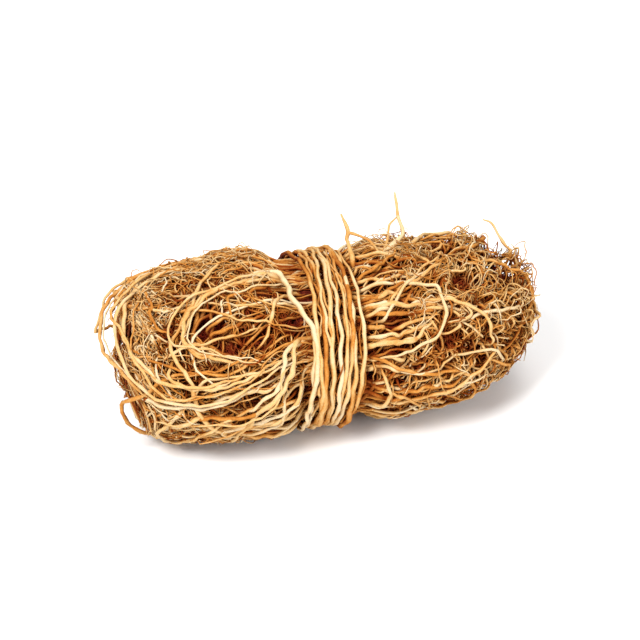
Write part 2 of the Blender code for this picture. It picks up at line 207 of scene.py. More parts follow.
# The left lobe's loops turn round two points, at this station and these angles. Their flow sets in
# between the last two stations, left of the middle
LOOPS_TURN_ROUND = -0.034
LOOPS_TURN_AT = (58, 232)
LEFT_LOBE = (0.008, 0.022)

# Sides and rings of the tubes
MAIN_RINGS, MAIN_SIDES = 104, 8
MEDIUM_RINGS, MEDIUM_SIDES = 48, 6
CURLY_RINGS, CURLY_SIDES = 22, 4
FINE_RINGS, FINE_SIDES = 15, 3
BINDING_RINGS_A_TURN = 72
BINDING_SIDES = 10
ANY_DIRECTION = (0.31, 0.52, 0.79)

# Roots that show by themselves: diameter in mm, then (station, angle, shell) on the way
SHOWING_ROOTS = {
    "inner_loop": (2.6, (3, 84, 0.9), (-10, 90, 1.0), (-26, 86, 1.01), (-41, 79, 1.02), (-51, 66, 1.02),
        (-54, 52, 1.02), (-48, 41, 1.02), (-36, 33, 1.0), (-22, 30, 0.9)),
    "outer_loop": (2.5, (-35, 118, 0.9), (-52, 118, 0.99), (-63, 108, 1.02), (-71, 84, 1.02),
        (-73, 64, 1.02), (-69, 38, 1.02), (-59, 22, 1.03), (-40, 20, 1.03), (-24, 30, 1.01), (-8, 36, 0.9)),
    "far_loop": (2.3, (-40, 140, 0.88), (-60, 132, 0.99), (-74, 122, 1.01), (-79, 98, 1.02),
        (-79.5, 70, 1.02), (-77, 35, 1.01), (-71, 10, 0.98), (-60, -10, 0.95), (-42, -18, 0.86)),
    "low_branch": (3.0, (0, 44, 0.9), (-14, 42, 1.0), (-16, 30, 1.03), (-19, 17, 1.05), (-25, 8, 1.05),
        (-33, -8, 1.03), (-39, -33, 1.0), (-45, -52, 0.88)),
    "low_branch_twin": (2.2, (-2, 20, 0.9), (-13, 18, 1.0), (-16, 2, 1.02), (-25, -12, 1.02),
        (-42, -16, 1.0), (-60, -18, 0.98), (-68, -30, 0.87)),
    "cross_root": (2.2, (-8, 78, 0.9), (-18, 72, 1.0), (-22, 58, 1.0), (-27, 44, 0.99), (-34, 38, 0.88)),
    "bent_root": (2.1, (4, 72, 0.9), (18, 73, 1.0), (28, 71, 1.03), (36, 67, 1.04), (39.5, 58, 1.04),
        (39, 46, 1.04), (36, 34, 1.03), (28, 28, 1.02), (18, 24, 1.0), (4, 20, 0.9)),
    "right_fall": (2.2, (26, 62, 0.88), (36, 58, 1.0), (46, 52, 1.03), (54, 38, 1.03), (58, 18, 1.0),
        (60, 4, 0.86)),
    "right_hook": (2.0, (24, 50, 0.88), (36, 52, 0.99), (45, 46, 1.0), (46, 36, 1.0), (38, 34, 0.97),
        (30, 38, 0.86)),
    "side_root": (2.8, (4, 60, 0.9), (16, 60, 0.98), (28, 57, 0.99), (38, 55, 0.98), (48, 48, 0.97),
        (58, 30, 0.88)),
    "side_root_low": (2.8, (4, 36, 0.9), (17, 36, 0.98), (28, 39, 0.99), (36, 42, 0.98), (44, 36, 0.88)),
    "right_end_root": (1.9, (44, 92, 0.88), (58, 84, 0.99), (71, 74, 1.01), (77, 56, 1.01), (77, 32, 1.0),
        (71, 10, 0.98), (60, -6, 0.96), (48, -18, 0.87)),
    "right_belly": (2.4, (2, -8, 0.9), (20, -14, 0.99), (38, -12, 1.02), (52, 2, 1.02), (60, 12, 0.98),
        (66, 16, 0.86)),
    "top_cross": (1.9, (10, 52, 0.9), (22, 62, 1.0), (34, 78, 1.02), (46, 94, 1.0), (54, 104, 0.87)),
}

# The bark's tone on some of them, from 0 for rust to 1 for straw; the others' are random
SHOWING_TONES = {"outer_loop": 0.58, "far_loop": 0.36, "inner_loop": 0.46, "low_branch": 0.54}

# Roots that stand up free of the hank, given in the same way
STANDING_ROOTS = {
    "waist_spike": (1.8, (15.6, 95, 0.86), (13.6, 100, 1.0), (11.6, 104, 1.13), (10, 107, 1.25),
        (9.7, 108, 1.35), (7.7, 111, 1.55)),
    "waist_spike_branch": (1.1, (9.7, 108, 1.33), (13.8, 106, 1.21), (18.2, 104, 1.12), (22.7, 101, 1.02),
        (26, 98, 0.88)),
    "fork_stem": (2.1, (25.6, 101, 0.88), (26.6, 104, 1.0), (28.4, 106, 1.11), (28.3, 107, 1.19),
        (24.7, 111, 1.34)),
    "fork_tip": (1.3, (26.6, 109, 1.26), (24.7, 111, 1.34), (21.4, 115, 1.58)),
    "fork_twin": (1.2, (26, 101, 0.9), (25.7, 106, 1.05), (24.9, 108, 1.14), (23.6, 110, 1.25),
        (24.4, 111, 1.33)),
    "end_spike": (1.2, (77, 99, 0.9), (74, 106, 1.0), (71, 109, 1.02), (66.6, 111, 1.06), (60, 114, 1.14),
        (56.4, 115, 1.16)),
}

# Thinner roots that show too, drawn only here, in the same way but without names
FINER_ROOTS = (
    (1.3, (-26, 79, 0.93), (-31, 77, 0.99), (-35, 74, 1.03), (-36, 69, 1.03), (-36, 62, 1.0),
     (-35, 53, 0.9)),
    (0.9, (-38, 80, 0.92), (-38, 74, 1.0), (-40, 64, 1.0), (-41, 58, 0.92)),
    (1.4, (-64, 40, 0.9), (-60, 31, 1.03), (-57, 23, 1.04), (-47, 21, 1.04), (-37, 25, 1.02),
     (-28, 30, 0.92)),
    (2.0, (-66, -30, 0.9), (-61, -17, 1.0), (-55, -8, 1.01), (-49, -4, 0.99), (-42, -2, 0.92)),
    (1.8, (-56, -8, 0.9), (-51, -5, 1.0), (-35, -3, 1.02), (-25, 2, 1.01), (-14, 6, 0.93)),
    (1.7, (-52, 6, 0.9), (-45, 10, 1.0), (-31, 15, 1.02), (-25, 17, 1.0), (-14, 22, 0.92)),
    (1.9, (-10, 44, 0.92), (-15, 39, 1.0), (-18, 37, 1.03), (-20, 28, 1.04), (-22, 18, 1.04),
     (-28, 8, 1.04), (-35, 0, 1.0), (-42, -4, 0.9)),
    (1.8, (16, -3, 0.9), (25, -4, 0.99), (37, -6, 1.02), (42, -4, 1.01), (46, 0, 0.98), (50, 4, 0.9)),
    (1.4, (14, 46, 0.9), (19, 51, 1.02), (28, 70, 1.04), (43, 83, 1.0), (48, 88, 0.9)),
    (2.5, (6, 47, 0.9), (10, 46, 1.0), (14, 45, 1.03), (17, 43, 1.02), (18, 41, 0.93)),
    (2.1, (6, 70, 0.9), (10, 68, 0.99), (14, 65, 1.02), (18, 63, 1.03), (23, 65, 1.02), (28, 65, 0.98),
     (34, 66, 0.9)),
    (1.8, (7, 62, 0.9), (13, 64, 1.0), (17, 64, 1.03), (23, 68, 1.03), (29, 72, 1.0), (35, 77, 0.9)),
    (2.2, (8, 60, 0.9), (15, 58, 0.99), (20, 58, 1.02), (26, 56, 1.02), (32, 55, 1.02), (38, 54, 1.0),
     (46, 55, 0.9)),
    (2.0, (9, 52, 0.9), (17, 52, 1.0), (22, 52, 1.02), (27, 51, 1.02), (32, 51, 1.01), (39, 51, 0.98),
     (45, 50, 0.9)),
    (2.0, (6, 51, 0.9), (9, 52, 0.98), (13, 53, 1.01), (17, 55, 1.02), (21, 55, 1.0), (26, 58, 0.9)),
    (1.7, (20, 40, 0.9), (23, 42, 0.99), (28, 44, 1.01), (32, 46, 1.02), (38, 48, 0.98), (43, 50, 0.9)),
    (1.6, (20, 30, 0.9), (24, 33, 0.99), (29, 35, 1.02), (32, 40, 1.02), (37, 42, 0.98), (42, 43, 0.9)),
    (1.8, (7, 37, 0.9), (10, 37, 0.99), (15, 38, 1.01), (19, 39, 1.02), (22, 38, 1.01), (28, 40, 0.97),
     (34, 42, 0.9)),
    (2.4, (7, 31, 0.9), (11, 32, 0.99), (17, 33, 1.02), (22, 34, 1.03), (29, 34, 1.02), (34, 35, 0.97),
     (40, 36, 0.9)),
    (1.6, (28, 68, 0.92), (29, 71, 1.0), (35, 74, 1.03), (40, 81, 1.03), (44, 84, 1.0), (50, 86, 0.9)),
    (1.5, (9, 79, 0.9), (13, 82, 1.0), (19, 84, 1.03), (24, 92, 1.04), (29, 100, 1.02), (33, 108, 0.92)),
    (1.4, (36, 56, 0.9), (40, 57, 1.0), (45, 54, 1.03), (48, 48, 1.03), (48, 43, 1.03), (45, 40, 1.01),
     (39, 42, 0.9)),
    (1.6, (46, 40, 0.9), (53, 40, 1.0), (62, 40, 1.02), (71, 35, 1.0), (75, 28, 0.92)),
    (1.5, (12, 0, 0.9), (17, -2, 1.0), (24, -12, 1.02), (29, -22, 1.01), (36, -30, 0.92)),
    (1.7, (10, -22, 0.9), (13, -20, 1.01), (17, -10, 1.03), (16, 7, 1.02), (17, 18, 0.9)),
    (1.4, (-58, 104, 0.9), (-62, 99, 1.0), (-62, 83, 1.02), (-63, 71, 1.02), (-61, 60, 1.0),
     (-58, 50, 0.9)),
    (1.5, (-46, 78, 0.9), (-50, 72, 1.0), (-53, 61, 1.01), (-54, 48, 1.0), (-49, 41, 1.02), (-42, 38, 1.02),
     (-34, 36, 0.93)),
    (1.7, (-34, 74, 0.9), (-28, 77, 0.97), (-23, 81, 0.98), (-19, 85, 0.98), (-13, 89, 0.92)),
    (1.5, (-50, 54, 0.88), (-47, 56, 0.96), (-43, 60, 0.97), (-37, 64, 0.97), (-29, 72, 0.96),
     (-22, 74, 0.88)),
    (1.3, (-66, 39, 0.9), (-62, 42, 1.0), (-56, 45, 1.02), (-48, 48, 1.02), (-41, 49, 1.0), (-31, 52, 0.98),
     (-24, 55, 0.9)),
    (1.6, (-48, 50, 0.9), (-46, 51, 0.98), (-40, 54, 1.0), (-34, 58, 0.99), (-29, 59, 0.97),
     (-22, 62, 0.9)),
    (1.7, (-72, 12, 0.9), (-70, 7, 0.99), (-60, 5, 1.01), (-51, 5, 1.02), (-42, 9, 1.02), (-30, 17, 1.0),
     (-22, 22, 0.9)),
)

# A root of the left lobe that crosses over the edge of the binding, and lies on it
BAND_EDGE_ROOT = (
    2.1, (-26, 90, 1.0), (-17, 93, 1.03), (-13, 86, 1.07), (-12, 71, 1.09), (-9, 57, 1.09), (-7, 44, 1.09),
    (-8, 20, 1.09), (-11, -5, 1.09), (-12, -34, 1.08), (-13, -60, 1.03),
)

# How much the knots of a companion stray by themselves, and how far out they may lie (mm)
KNOT_STRAY = 0.4
FURTHEST_KNOT = LAST_STATION / MM + 3

# Roots that keep a showing root company: its name, how many, diameters, and how far each one strays
LEFT_COMPANIONS = (
    ("far_loop", 1, (0.0006, 0.0009), (0.8, 4, 0.010)),
    ("outer_loop", 4, (0.0007, 0.0014), (3.0, 7, 0.02)),
    ("inner_loop", 4, (0.0007, 0.0014), (4.0, 7, 0.02)),
    ("low_branch_twin", 5, (0.0007, 0.0015), (5.0, 9, 0.02)),
)

# Random loops: number, side, first angle, turn, reach, shells, diameters. The first two rows of the
# left ones keep clear of the wide hollows
LEFT_FINER_LOOPS = (
    (90, -1, (60, 135), (-125, -45), (0.030, 0.074), (0.86, 1.0), (0.0006, 0.0014)),
    (75, -1, (60, 140), (60, 160), (0.040, 0.074), (0.88, 1.0), (0.0006, 0.0014)),
    (40, -1, (-150, -20), (-110, 110), (0.045, 0.074), (0.86, 0.99), (0.0006, 0.0014)),
)
CLEAR_ROWS = 2
RIGHT_FINER_LOOPS = (34, 1, (0, 360), (-150, 150), (0.040, 0.074), (0.86, 1.0), (0.0006, 0.0013))

# Random runs out from the binding: number, side, length, shells, diameters
RIGHT_FINER_RUNS = (135, 1, (0.024, 0.064), (0.86, 0.99), (0.0008, 0.0019))
FINE_RUN_TURN = 24

# Pieces of rootlets: name, rings and sides of their tubes, and whether the open rim thins them out.
# Then, for each kind of rootlet: number, stations, angles, shell at the start, rise, diameter, length,
# curl and spread of the headings
ALL_ROUND = (0, 360)
RIGHT_SIDE = (0.014, 0.079)
ROOTLET_PIECES = (
    ("right_curls", CURLY_RINGS, CURLY_SIDES, True, (
        (700, RIGHT_SIDE, ALL_ROUND, (0.90, 1.0), (-0.02, 0.06), (0.0007, 0.0013), (0.016, 0.042),
         0.36, 1.0),
    )),
    ("left_curls", CURLY_RINGS, CURLY_SIDES, False, (
        (440, (-0.0795, -0.010), ALL_ROUND, (0.86, 1.0), (-0.02, 0.03), (0.0005, 0.0011), (0.016, 0.045),
         0.24, 0.5),
    )),
    ("deep_rootlets", FINE_RINGS, FINE_SIDES, True, (
        (950, (-0.070, 0.079), ALL_ROUND, (0.80, 0.90), (-0.02, 0.04), (0.0005, 0.0009), (0.012, 0.030),
         0.40, 1.2),
    )),
    ("right_rootlets", FINE_RINGS, FINE_SIDES, True, (
        (1220, RIGHT_SIDE, ALL_ROUND, (0.88, 1.0), (-0.02, 0.05), (0.0005, 0.0010), (0.010, 0.028),
         0.52, 1.3),
    )),
    ("left_rootlets", FINE_RINGS, FINE_SIDES, False, (
        (1450, (-0.070, -0.010), ALL_ROUND, (0.90, 1.0), (-0.03, 0.03), (0.00045, 0.0009), (0.010, 0.028),
         0.38, 0.6),
        (240, (-0.0799, -0.066), ALL_ROUND, (0.94, 1.0), (-0.03, 0.03), (0.0005, 0.0010), (0.012, 0.030),
         0.40, 1.0),
        (240, (-0.07999, -0.0775), ALL_ROUND, (0.94, 1.0), (-0.03, 0.03), (0.0006, 0.0013), (0.012, 0.030),
         0.40, 1.0),
    )),
)

# Rootlets that stand off the hank, in the same way, and whether they come back down to it
EDGE_ROOTLETS = (
    (180, (0.02, 0.078), (30, 135), (0.97, 1.0), (0.02, 0.1), (0.0004, 0.0007), (0.01, 0.026), 0.6, 2.0,
     True),
    (70, (0.024, 0.078), (40, 130), (0.97, 1.0), (0.02, 0.08), (0.0003, 0.0005), (0.008, 0.018), 0.6, 2.0,
     False),
    (140, (-0.072, -0.014), (60, 140), (0.97, 1.0), (0.02, 0.08), (0.0004, 0.0007), (0.01, 0.026), 0.5, 1.2,
     True),
    (70, (-0.078, -0.03), (75, 130), (0.97, 1.0), (0.02, 0.08), (0.00035, 0.0006), (0.008, 0.018), 0.5, 1.2,
     False),
    (160, (-0.076, 0.078), (140, 320), (0.97, 1.0), (0.01, 0.04), (0.00032, 0.0006), (0.01, 0.026), 0.5,
     1.2, True),
    (70, (0.031, 0.044), (98, 116), (0.98, 1.0), (0.05, 0.19), (0.0003, 0.0005), (0.014, 0.03), 0.9, 3.0,
     True),
    (16, (-0.029, -0.025), (108, 122), (0.98, 1.0), (0.03, 0.14), (0.00032, 0.0006), (0.01, 0.018), 0.7,
     2.0, True),
)

# Side roots of the main ones: number, diameters, lengths
TWIGS = (120, (0.0005, 0.0010), (0.008, 0.024))

# Shares of the thickness left at the first and last tip, and where along a root it changes
THICK_ENDS = (0.9, 0.5)
THIN_ENDS = (0.8, 0.3)
TAPER_PLACES = (0, 0.12, 0.6, 1)

# Colours that the bark runs through, from shaded rust to dry straw, each with its tone
BARK_COLOURS = (
    (0.0, (0.21, 0.042, 0.004)),
    (0.35, (0.45, 0.180, 0.032)),
    (0.62, (0.56, 0.335, 0.125)),
    (1.0, (0.61, 0.470, 0.285)),
)
# Painted shade: the dark maroon that the bark is painted towards deep in the mat
DEEP_SHADE = (0.11, 0.009, 0.003)
BLOTCH_SCALE, GRAIN_SCALE = 160, 1400
BLOTCHES, GRAIN = 0.80, 0.40
# Painted shade by depth: how far the tone drops towards rust, and where the colour mixes towards the deep
# shade
SHADED_TONE_BY_DEPTH = (0.86, 1.0, -0.60, 0.14)
LIGHT_BY_DEPTH = (0.83, 0.975, 0, 1)
BARK_ROUGHNESS = (0, 1, 0.58, 0.85)
GLOSS = 0.04
THICK_RELIEF, THIN_RELIEF = 0.35, 0.15
RELIEF_HEIGHT = 0.0002
MAT_SCALE = 900
# Painted shade: the core's very dark colours stand for the shade deep between the roots
CORE_SHADE_COLOURS = ((0.35, (0.03, 0.003, 0.002)), (0.55, (0.10, 0.012, 0.006)), (0.75, (0.22, 0.045, 0.012)))

# How a root's tone changes with its place (for each metre) and by chance
PALER_TO_THE_LEFT = 0.9
PALER_ABOVE = 1.2
TONE_HEIGHT = 0.03
TONE_SPREAD = 0.24
MAIN_TONE_SPREAD = 0.13
PIECE_TONES = {
    "main_roots": 0.46, "left_roots": 0.46, "right_roots": 0.44, "single_roots": 0.46, "right_curls": 0.53,
    "left_curls": 0.40, "deep_rootlets": 0.34, "right_rootlets": 0.46, "left_rootlets": 0.34,
    "edge_rootlets": 0.40,
}

# Soft lights: name, place, size, power. They are aimed at one point
LIGHTS = (
    ("key", (-0.5, -0.50, 0.85), 0.42, 15.5),
    ("fill", (0.55, -0.65, 0.45), 0.5, 4.5),
    ("top", (0.25, 0.2, 0.9), 0.6, 4.5),
)
LIT_POINT = (0, 0, 0.03)
FLOOR_COLOUR = (0.92, 0.92, 0.92, 1)
WORLD_LIGHT = 0.40

# The camera, read from the photograph: a hank 443 pixels long in a frame of 640
AZIMUTH = -12
ELEVATION = 35
CAMERA_DISTANCE = 2.2
PIXELS = 640
PIXELS_A_METRE = 2750
HANK_PIXEL = (320, 335)
HANK_MIDDLE = (BASE_SHIFT[0], BASE_SHIFT[1], 0.030)
SENSOR = 36


def camera_axes():
    """The unit vectors to the right and up in the photograph, and back towards the camera."""
    azimuth, elevation = math.radians(AZIMUTH), math.radians(ELEVATION)
    back = np.array([math.sin(azimuth) * math.cos(elevation), -math.cos(azimuth) * math.cos(elevation),
                     math.sin(elevation)])
    right = np.array([math.cos(azimuth), math.sin(azimuth), 0])
    return right, np.cross(back, right), back


UPWARDS = camera_axes()[1]


def narrow(x):
    """How wide and high the hank is at this station, as a share. The binding pulls it in at the waist,
    and the right lobe starts slimmer than the left one."""
    pinch = WAIST_PINCH * np.exp(-(((x - WAIST_STATION) / WAIST_REACH) ** WAIST_SQUARENESS))
    return 1 - pinch - SLIM_PINCH * np.exp(-(((x - SLIM_STATION) / SLIM_REACH) ** 2))


def roundness(x):
    """The hank's left end is squarer than its right end."""
    return np.where(x < 0, LEFT_ROUNDNESS, RIGHT_ROUNDNESS)


def fullness(points):
    """1 for a point on the hank's surface, less inside it."""
    x, y, z = np.moveaxis(points, -1, 0)
    across = np.hypot(y / HALF_WIDTH, (z - MIDDLE_HEIGHT) / HALF_HEIGHT) / narrow(x)
    power = roundness(x)
    return (np.abs(x / HALF_LENGTH) ** power + across**power) ** (1 / power)


def on_shell(points, shell):
    """Moves points towards or away from the hank's middle until they lie on that shell."""
    middle = np.array([0, 0, MIDDLE_HEIGHT])
    for _ in range(6):
        points = middle + (points - middle) * (shell / fullness(points))[..., None]
    return points


def place(station, angle, shell=1.0):
    """Points at these stations (m) and angles (degrees), on these shells."""
    station, angle = np.broadcast_arrays(np.asarray(station, float), np.radians(angle))
    power = roundness(station)
    end = np.clip(1 - np.abs(station / HALF_LENGTH) ** power, 0.002, 1) ** (1 / power)
    reach = end * narrow(station)
    y = -HALF_WIDTH * reach * np.cos(angle)
    z = MIDDLE_HEIGHT + HALF_HEIGHT * reach * np.sin(angle)
    return on_shell(np.stack([station, y, z], axis=-1), np.broadcast_to(shell, station.shape))


def outwards(points):
    """The unit vectors that point straight out of the hank."""
    x, y, z = np.moveaxis(points, -1, 0)
    y, z = y / HALF_WIDTH, (z - MIDDLE_HEIGHT) / HALF_HEIGHT
    across = np.hypot(y, z) + 1e-9
    power = roundness(x) - 1
    lengthways = np.sign(x) * np.abs(x / HALF_LENGTH) ** power / HALF_LENGTH
    sideways = across ** (power - 1)
    return unit(np.stack([lengthways, sideways * y / HALF_WIDTH, sideways * z / HALF_HEIGHT], axis=-1))


def unit(vectors):
    return vectors / (np.linalg.norm(vectors, axis=-1, keepdims=True) + 1e-12)


def square_to(vectors, axis):
    """The unit vectors nearest to these at right angles to axis."""
    return unit(vectors - axis * np.sum(vectors * axis, axis=1, keepdims=True))


def turned(ahead, out, angle):
    """Headings turned by angle about out."""
    return ahead * np.cos(angle) + np.cross(out, ahead) * np.sin(angle)


def bent(points):
    """The right end of the hank curves to the back, and its tip is lifted a little."""
    bend = np.clip((points[:, 0] - END_BEND_FROM) / (HALF_LENGTH - END_BEND_FROM), 0, None)
    lift = np.clip((points[:, 0] - END_LIFT_FROM) / (HALF_LENGTH - END_LIFT_FROM), 0, None)
    return points + np.stack([0 * bend, END_BEND * bend**2, END_LIFT * lift**2], axis=-1)


def smooth_step(value, low, high):
    t = np.clip((value - low) / (high - low), 0, 1)
    return t * t * (3 - 2 * t)


def smooth_path(knots, count):
    """count rows, evenly spaced along a Catmull-Rom curve through the knots."""
    knots = np.asarray(knots, float)
    padded = np.vstack([2 * knots[0] - knots[1], knots, 2 * knots[-1] - knots[-2]])
    fine = []
    for i in range(len(knots) - 1):
        before, here, there, after = padded[i : i + 4]
        t = np.linspace(0, 1, 12, endpoint=False)[:, None]
        fine.append(0.5 * (2 * here + (there - before) * t
                           + (2 * before - 5 * here + 4 * there - after) * t**2
                           + (3 * here - before - 3 * there + after) * t**3))
    fine = np.vstack([*fine, knots[-1:]])
    return evenly(fine, count)


def evenly(points, count):
    """The same path with count points, evenly spaced by the first three columns."""
    steps = np.linalg.norm(np.diff(points[:, :3], axis=0), axis=1)
    along = np.concatenate([[0], np.cumsum(steps)])
    wanted = np.linspace(0, along[-1], count)
    return np.stack([np.interp(wanted, along, column) for column in points.T], axis=-1)


def sway(rng, count):
    """A gentle wander between -1 and 1 along a root, of a few random waves."""
    t = np.linspace(0, 1, count)
    return sum(np.sin(2 * np.pi * (rng.uniform(*SWAY_WAVES) * t + rng.random())) for _ in range(2)) / 2


def sways(rng, number, count, waves=SWAY_WAVES, shape=np.sin):
    """One wander like sway's for each of many roots."""
    t = np.linspace(0, 1, count)
    total = np.zeros((number, count))
    for _ in range(2):
        total += shape(2 * np.pi * (rng.uniform(*waves, (number, 1)) * t + rng.random((number, 1))))
    return total / 2


def zigzag(phase):
    """Like a sine wave, but with straight stretches between corners."""
    return 2 / np.pi * np.arcsin(np.sin(phase))


def above_floor(points, radius):
    """The same points, raised where a root of this radius would cross the floor."""
    points[..., 2] = np.maximum(points[..., 2], radius + OFF_THE_FLOOR)
    return points


def keep_in_place(points, shell, radius):
    """Roots dive under the binding at the waist, and lie on the floor without crossing it."""
    return above_floor(on_shell(points, np.minimum(shell, waist_shell(points))), radius)


def waist_shell(points):
    """The highest shell that leaves room for the binding."""
    out = smooth_step(np.abs(points[..., 0] - WAIST_STATION), *ROOTS_SURFACE)
    return UNDER_BINDING + (FREE_SHELL - UNDER_BINDING) * out


def leave_gap(points, edges):
    """Keeps points right of the far loop's gap at the left end. edges is each root's own limit there."""
    height = points @ UPWARDS - MIDDLE_HEIGHT * UPWARDS[2]
    limit = edges - BELOW_GAP * (1 - smooth_step(height, *GAP_HEIGHTS))
    limit = limit + LOWER_CORNER * smooth_step(-height, *CORNER_HEIGHTS)
    points[..., 0] = np.clip(points[..., 0], limit, RIGHT_EDGE)
    return points


def hollow_spots():
    """Centres and radii of the dark hollows: those that the camera sees, and more on the unseen sides."""
    station, angle, radius = np.array(HOLLOWS, float).T
    rng = np.random.default_rng(SEED + 700)
    side = rng.choice((-1, 1), UNSEEN_HOLLOWS)
    station = np.append(station * MM, side * rng.uniform(*UNSEEN_STATIONS, UNSEEN_HOLLOWS))
    angle = np.append(angle, rng.uniform(*UNSEEN_ANGLES, UNSEEN_HOLLOWS))
    radius = np.append(radius * MM, rng.uniform(*UNSEEN_HOLLOW_RADII, UNSEEN_HOLLOWS))
    return place(station, angle), HOLLOW_GROWTH * radius


def hollow_shell(points):
    """The highest shell near the hollows: finer roots drop into them."""
    shell = np.full(points.shape[:-1], FREE_SHELL)
    for centre, radius in zip(*hollow_spots()):
        away = smooth_step(np.linalg.norm(points - centre, axis=-1) / radius, *HOLLOW_RIM)
        shell = np.minimum(shell, HOLLOW_SHELL + (FREE_SHELL - HOLLOW_SHELL) * away)
    return shell


def highest_shell(points):
    return np.minimum(waist_shell(points), hollow_shell(points))


def knot_places(knots):
    """The points and shells of a root's knots."""
    station, angle, shell = np.array(knots, float).T
    return place(station * MM, angle, shell), shell


def knot_path(knots, count):
    """count points, and their shells, on a root that goes through these knots."""
    path = smooth_path(np.column_stack(knot_places(knots)), count)
    return path[:, :3], path[:, 3]


def showing_route(knots, radius, count):
    """The path of one of the roots that show by themselves."""
    return keep_in_place(*knot_path(knots, count), radius)


def loop_shape(side, reach, squareness, start, turn, t):
    """Stations and angles of a loop that leaves the waist and comes back to it."""
    station = WAIST_STATION + side * reach * np.sin(np.pi * t) ** squareness
    return station, start + turn * (1 - np.cos(np.pi * t)) / 2


def loop_route(rng, start, side, count, radius):
    """Out from the waist, round a bend at the end of the hank and back to the waist."""
    turn = rng.choice((-1, 1)) * rng.uniform(*LOOP_TURN)
    reach = rng.uniform(*LOOP_REACH)
    squareness = rng.uniform(*LOOP_SQUARENESS)
    shell = rng.choice(LAYERS) + rng.uniform(-LAYER_SPREAD, LAYER_SPREAD)
    t = np.linspace(0, 1, 4 * count)
    station, angle = loop_shape(side, reach, squareness, start, turn, t)
    angle = angle + LOOP_SWAY * sway(rng, len(t))
    station = station + STATION_SWAY * sway(rng, len(t))
    station = np.clip(station, -LAST_STATION, LAST_STATION)
    path = evenly(place(station, angle), count)
    return keep_in_place(path, shell + SHELL_SWAY * sway(rng, count), radius)


def run_route(rng, start, side, count, radius):
    """Out from the waist and along the hank, sinking into the mat before the end."""
    length = rng.uniform(*RUN_LENGTH)
    shell = rng.choice(LAYERS) + rng.uniform(-LAYER_SPREAD, LAYER_SPREAD)
    t = np.linspace(0, 1, count)
    station = WAIST_STATION + side * length * t
    angle = start + rng.uniform(-RUN_TURN, RUN_TURN) * t + RUN_SWAY * sway(rng, count) * t
    shells = shell + SHELL_SWAY * sway(rng, count) - RUN_SINK * smooth_step(t, RUN_SINKS_FROM, 1)
    return keep_in_place(place(station, angle), shells, radius)


def main_routes():
    """(paths, radii) of the roots that the solids hold, drawn more finely."""
    paths, radii = [], []
    for diameter, *knots in SHOWING_ROOTS.values():
        radii.append(diameter * MM / 2)
        paths.append(showing_route(knots, radii[-1], MAIN_RINGS))
    for diameter, *knots in STANDING_ROOTS.values():
        radii.append(diameter * MM / 2)
        paths.append(knot_path(knots, MAIN_RINGS)[0])
    kinds = ((loop_route, -1, LEFT_LOOPS), (loop_route, 1, RIGHT_LOOPS), (run_route, 1, RIGHT_RUNS))
    for kind, (route, side, number) in enumerate(kinds):
        for i in range(number):
            rng = random.Random(SEED + 1000 * kind + i)
            radii.append(rng.uniform(*LOOP_DIAMETERS) / 2)
            start = 360 * (i + rng.random()) / number
            paths.append(route(rng, start, side, MAIN_RINGS, radii[-1]))
    return np.array(paths), np.array(radii)


def companions(rng, name, number, diameters, spread):
    """Roots that keep a showing root company: its route with small changes."""
    knots = np.array(SHOWING_ROOTS[name][1:], float)
    paths, radii = [], []
    for _ in range(number):
        radii.append(rng.uniform(*diameters) / 2)
        moved = knots + rng.normal(0, 1, 3) * spread
        moved = moved + KNOT_STRAY * rng.normal(0, 1, knots.shape) * spread
        moved[:, 0] = np.clip(moved[:, 0], -FURTHEST_KNOT, FURTHEST_KNOT)
        paths.append(showing_route(moved, radii[-1], MEDIUM_RINGS))
    return np.array(paths), np.array(radii)


def fine_loops(rng, number, side, starts, turns, reach, shells, diameters):
    """Many thinner loops like the main ones."""
    radii = rng.uniform(*diameters, number) / 2
    t = np.linspace(0, 1, 2 * MEDIUM_RINGS)
    far = rng.uniform(*reach, (number, 1))
    squareness = rng.uniform(*LOOP_SQUARENESS, (number, 1))
    begin = rng.uniform(*starts, (number, 1))
    turn = rng.uniform(*turns, (number, 1))
    station, angle = loop_shape(side, far, squareness, begin, turn, t)
    station = station + STATION_SWAY * sways(rng, number, len(t), (2, 6))
    station = np.clip(station, -LAST_STATION, LAST_STATION)
    angle = angle + LOOP_SWAY * sways(rng, number, len(t))
    paths = np.array([evenly(path, MEDIUM_RINGS) for path in place(station, angle)])
    shell = rng.uniform(*shells, (number, 1)) + WEAVE * sways(rng, number, MEDIUM_RINGS, (2, 7))
    paths = keep_in_place(paths, shell, radii[:, None])
    return leave_gap(paths, rng.uniform(*GAP_EDGES, (number, 1))), radii


def fine_runs(rng, number, side, length, shells, diameters):
    """Many thinner roots that run out from the binding and sink into the mat."""
    radii = rng.uniform(*diameters, number) / 2
    t = np.linspace(0, 1, MEDIUM_RINGS)
    station = WAIST_STATION + side * rng.uniform(*length, (number, 1)) * t
    begin = rng.uniform(0, 360, (number, 1))
    angle = begin + rng.normal(0, FINE_RUN_TURN, (number, 1)) * t + RUN_SWAY * sways(rng, number, len(t)) * t
    shell = rng.uniform(*shells, (number, 1)) + WEAVE * sways(rng, number, len(t), (1.5, 5))
    shell = shell - RUN_SINK * smooth_step(t, RUN_SINKS_FROM, 1)
    return keep_in_place(place(station, angle), shell, radii[:, None]), radii


def clear_of_hollows(paths, radii):
    """Leaves out the roots that would cover the widest hollows that the camera sees."""
    centres, reaches = hollow_spots()
    kept = np.ones(len(paths), bool)
    for centre, reach in zip(centres[: len(HOLLOWS)], reaches):
        if reach > WIDE_HOLLOW:
            kept &= np.linalg.norm(paths - centre, axis=2).min(axis=1) > reach
    return paths[kept], radii[kept]


def open_rim(rng, paths, radii):
    """Leaves out most of the fine roots at the thin edge of the right lobe, where it can be seen through."""
    station, angle, reach = OPEN_RIM
    away = paths - place(station, angle)
    back = camera_axes()[2]
    away = away - back * (away @ back)[..., None]
    near = np.linalg.norm(away, axis=2).min(axis=1) < reach
    kept = ~near | (rng.random(len(paths)) < RIM_SHARE)
    return paths[kept], radii[kept]


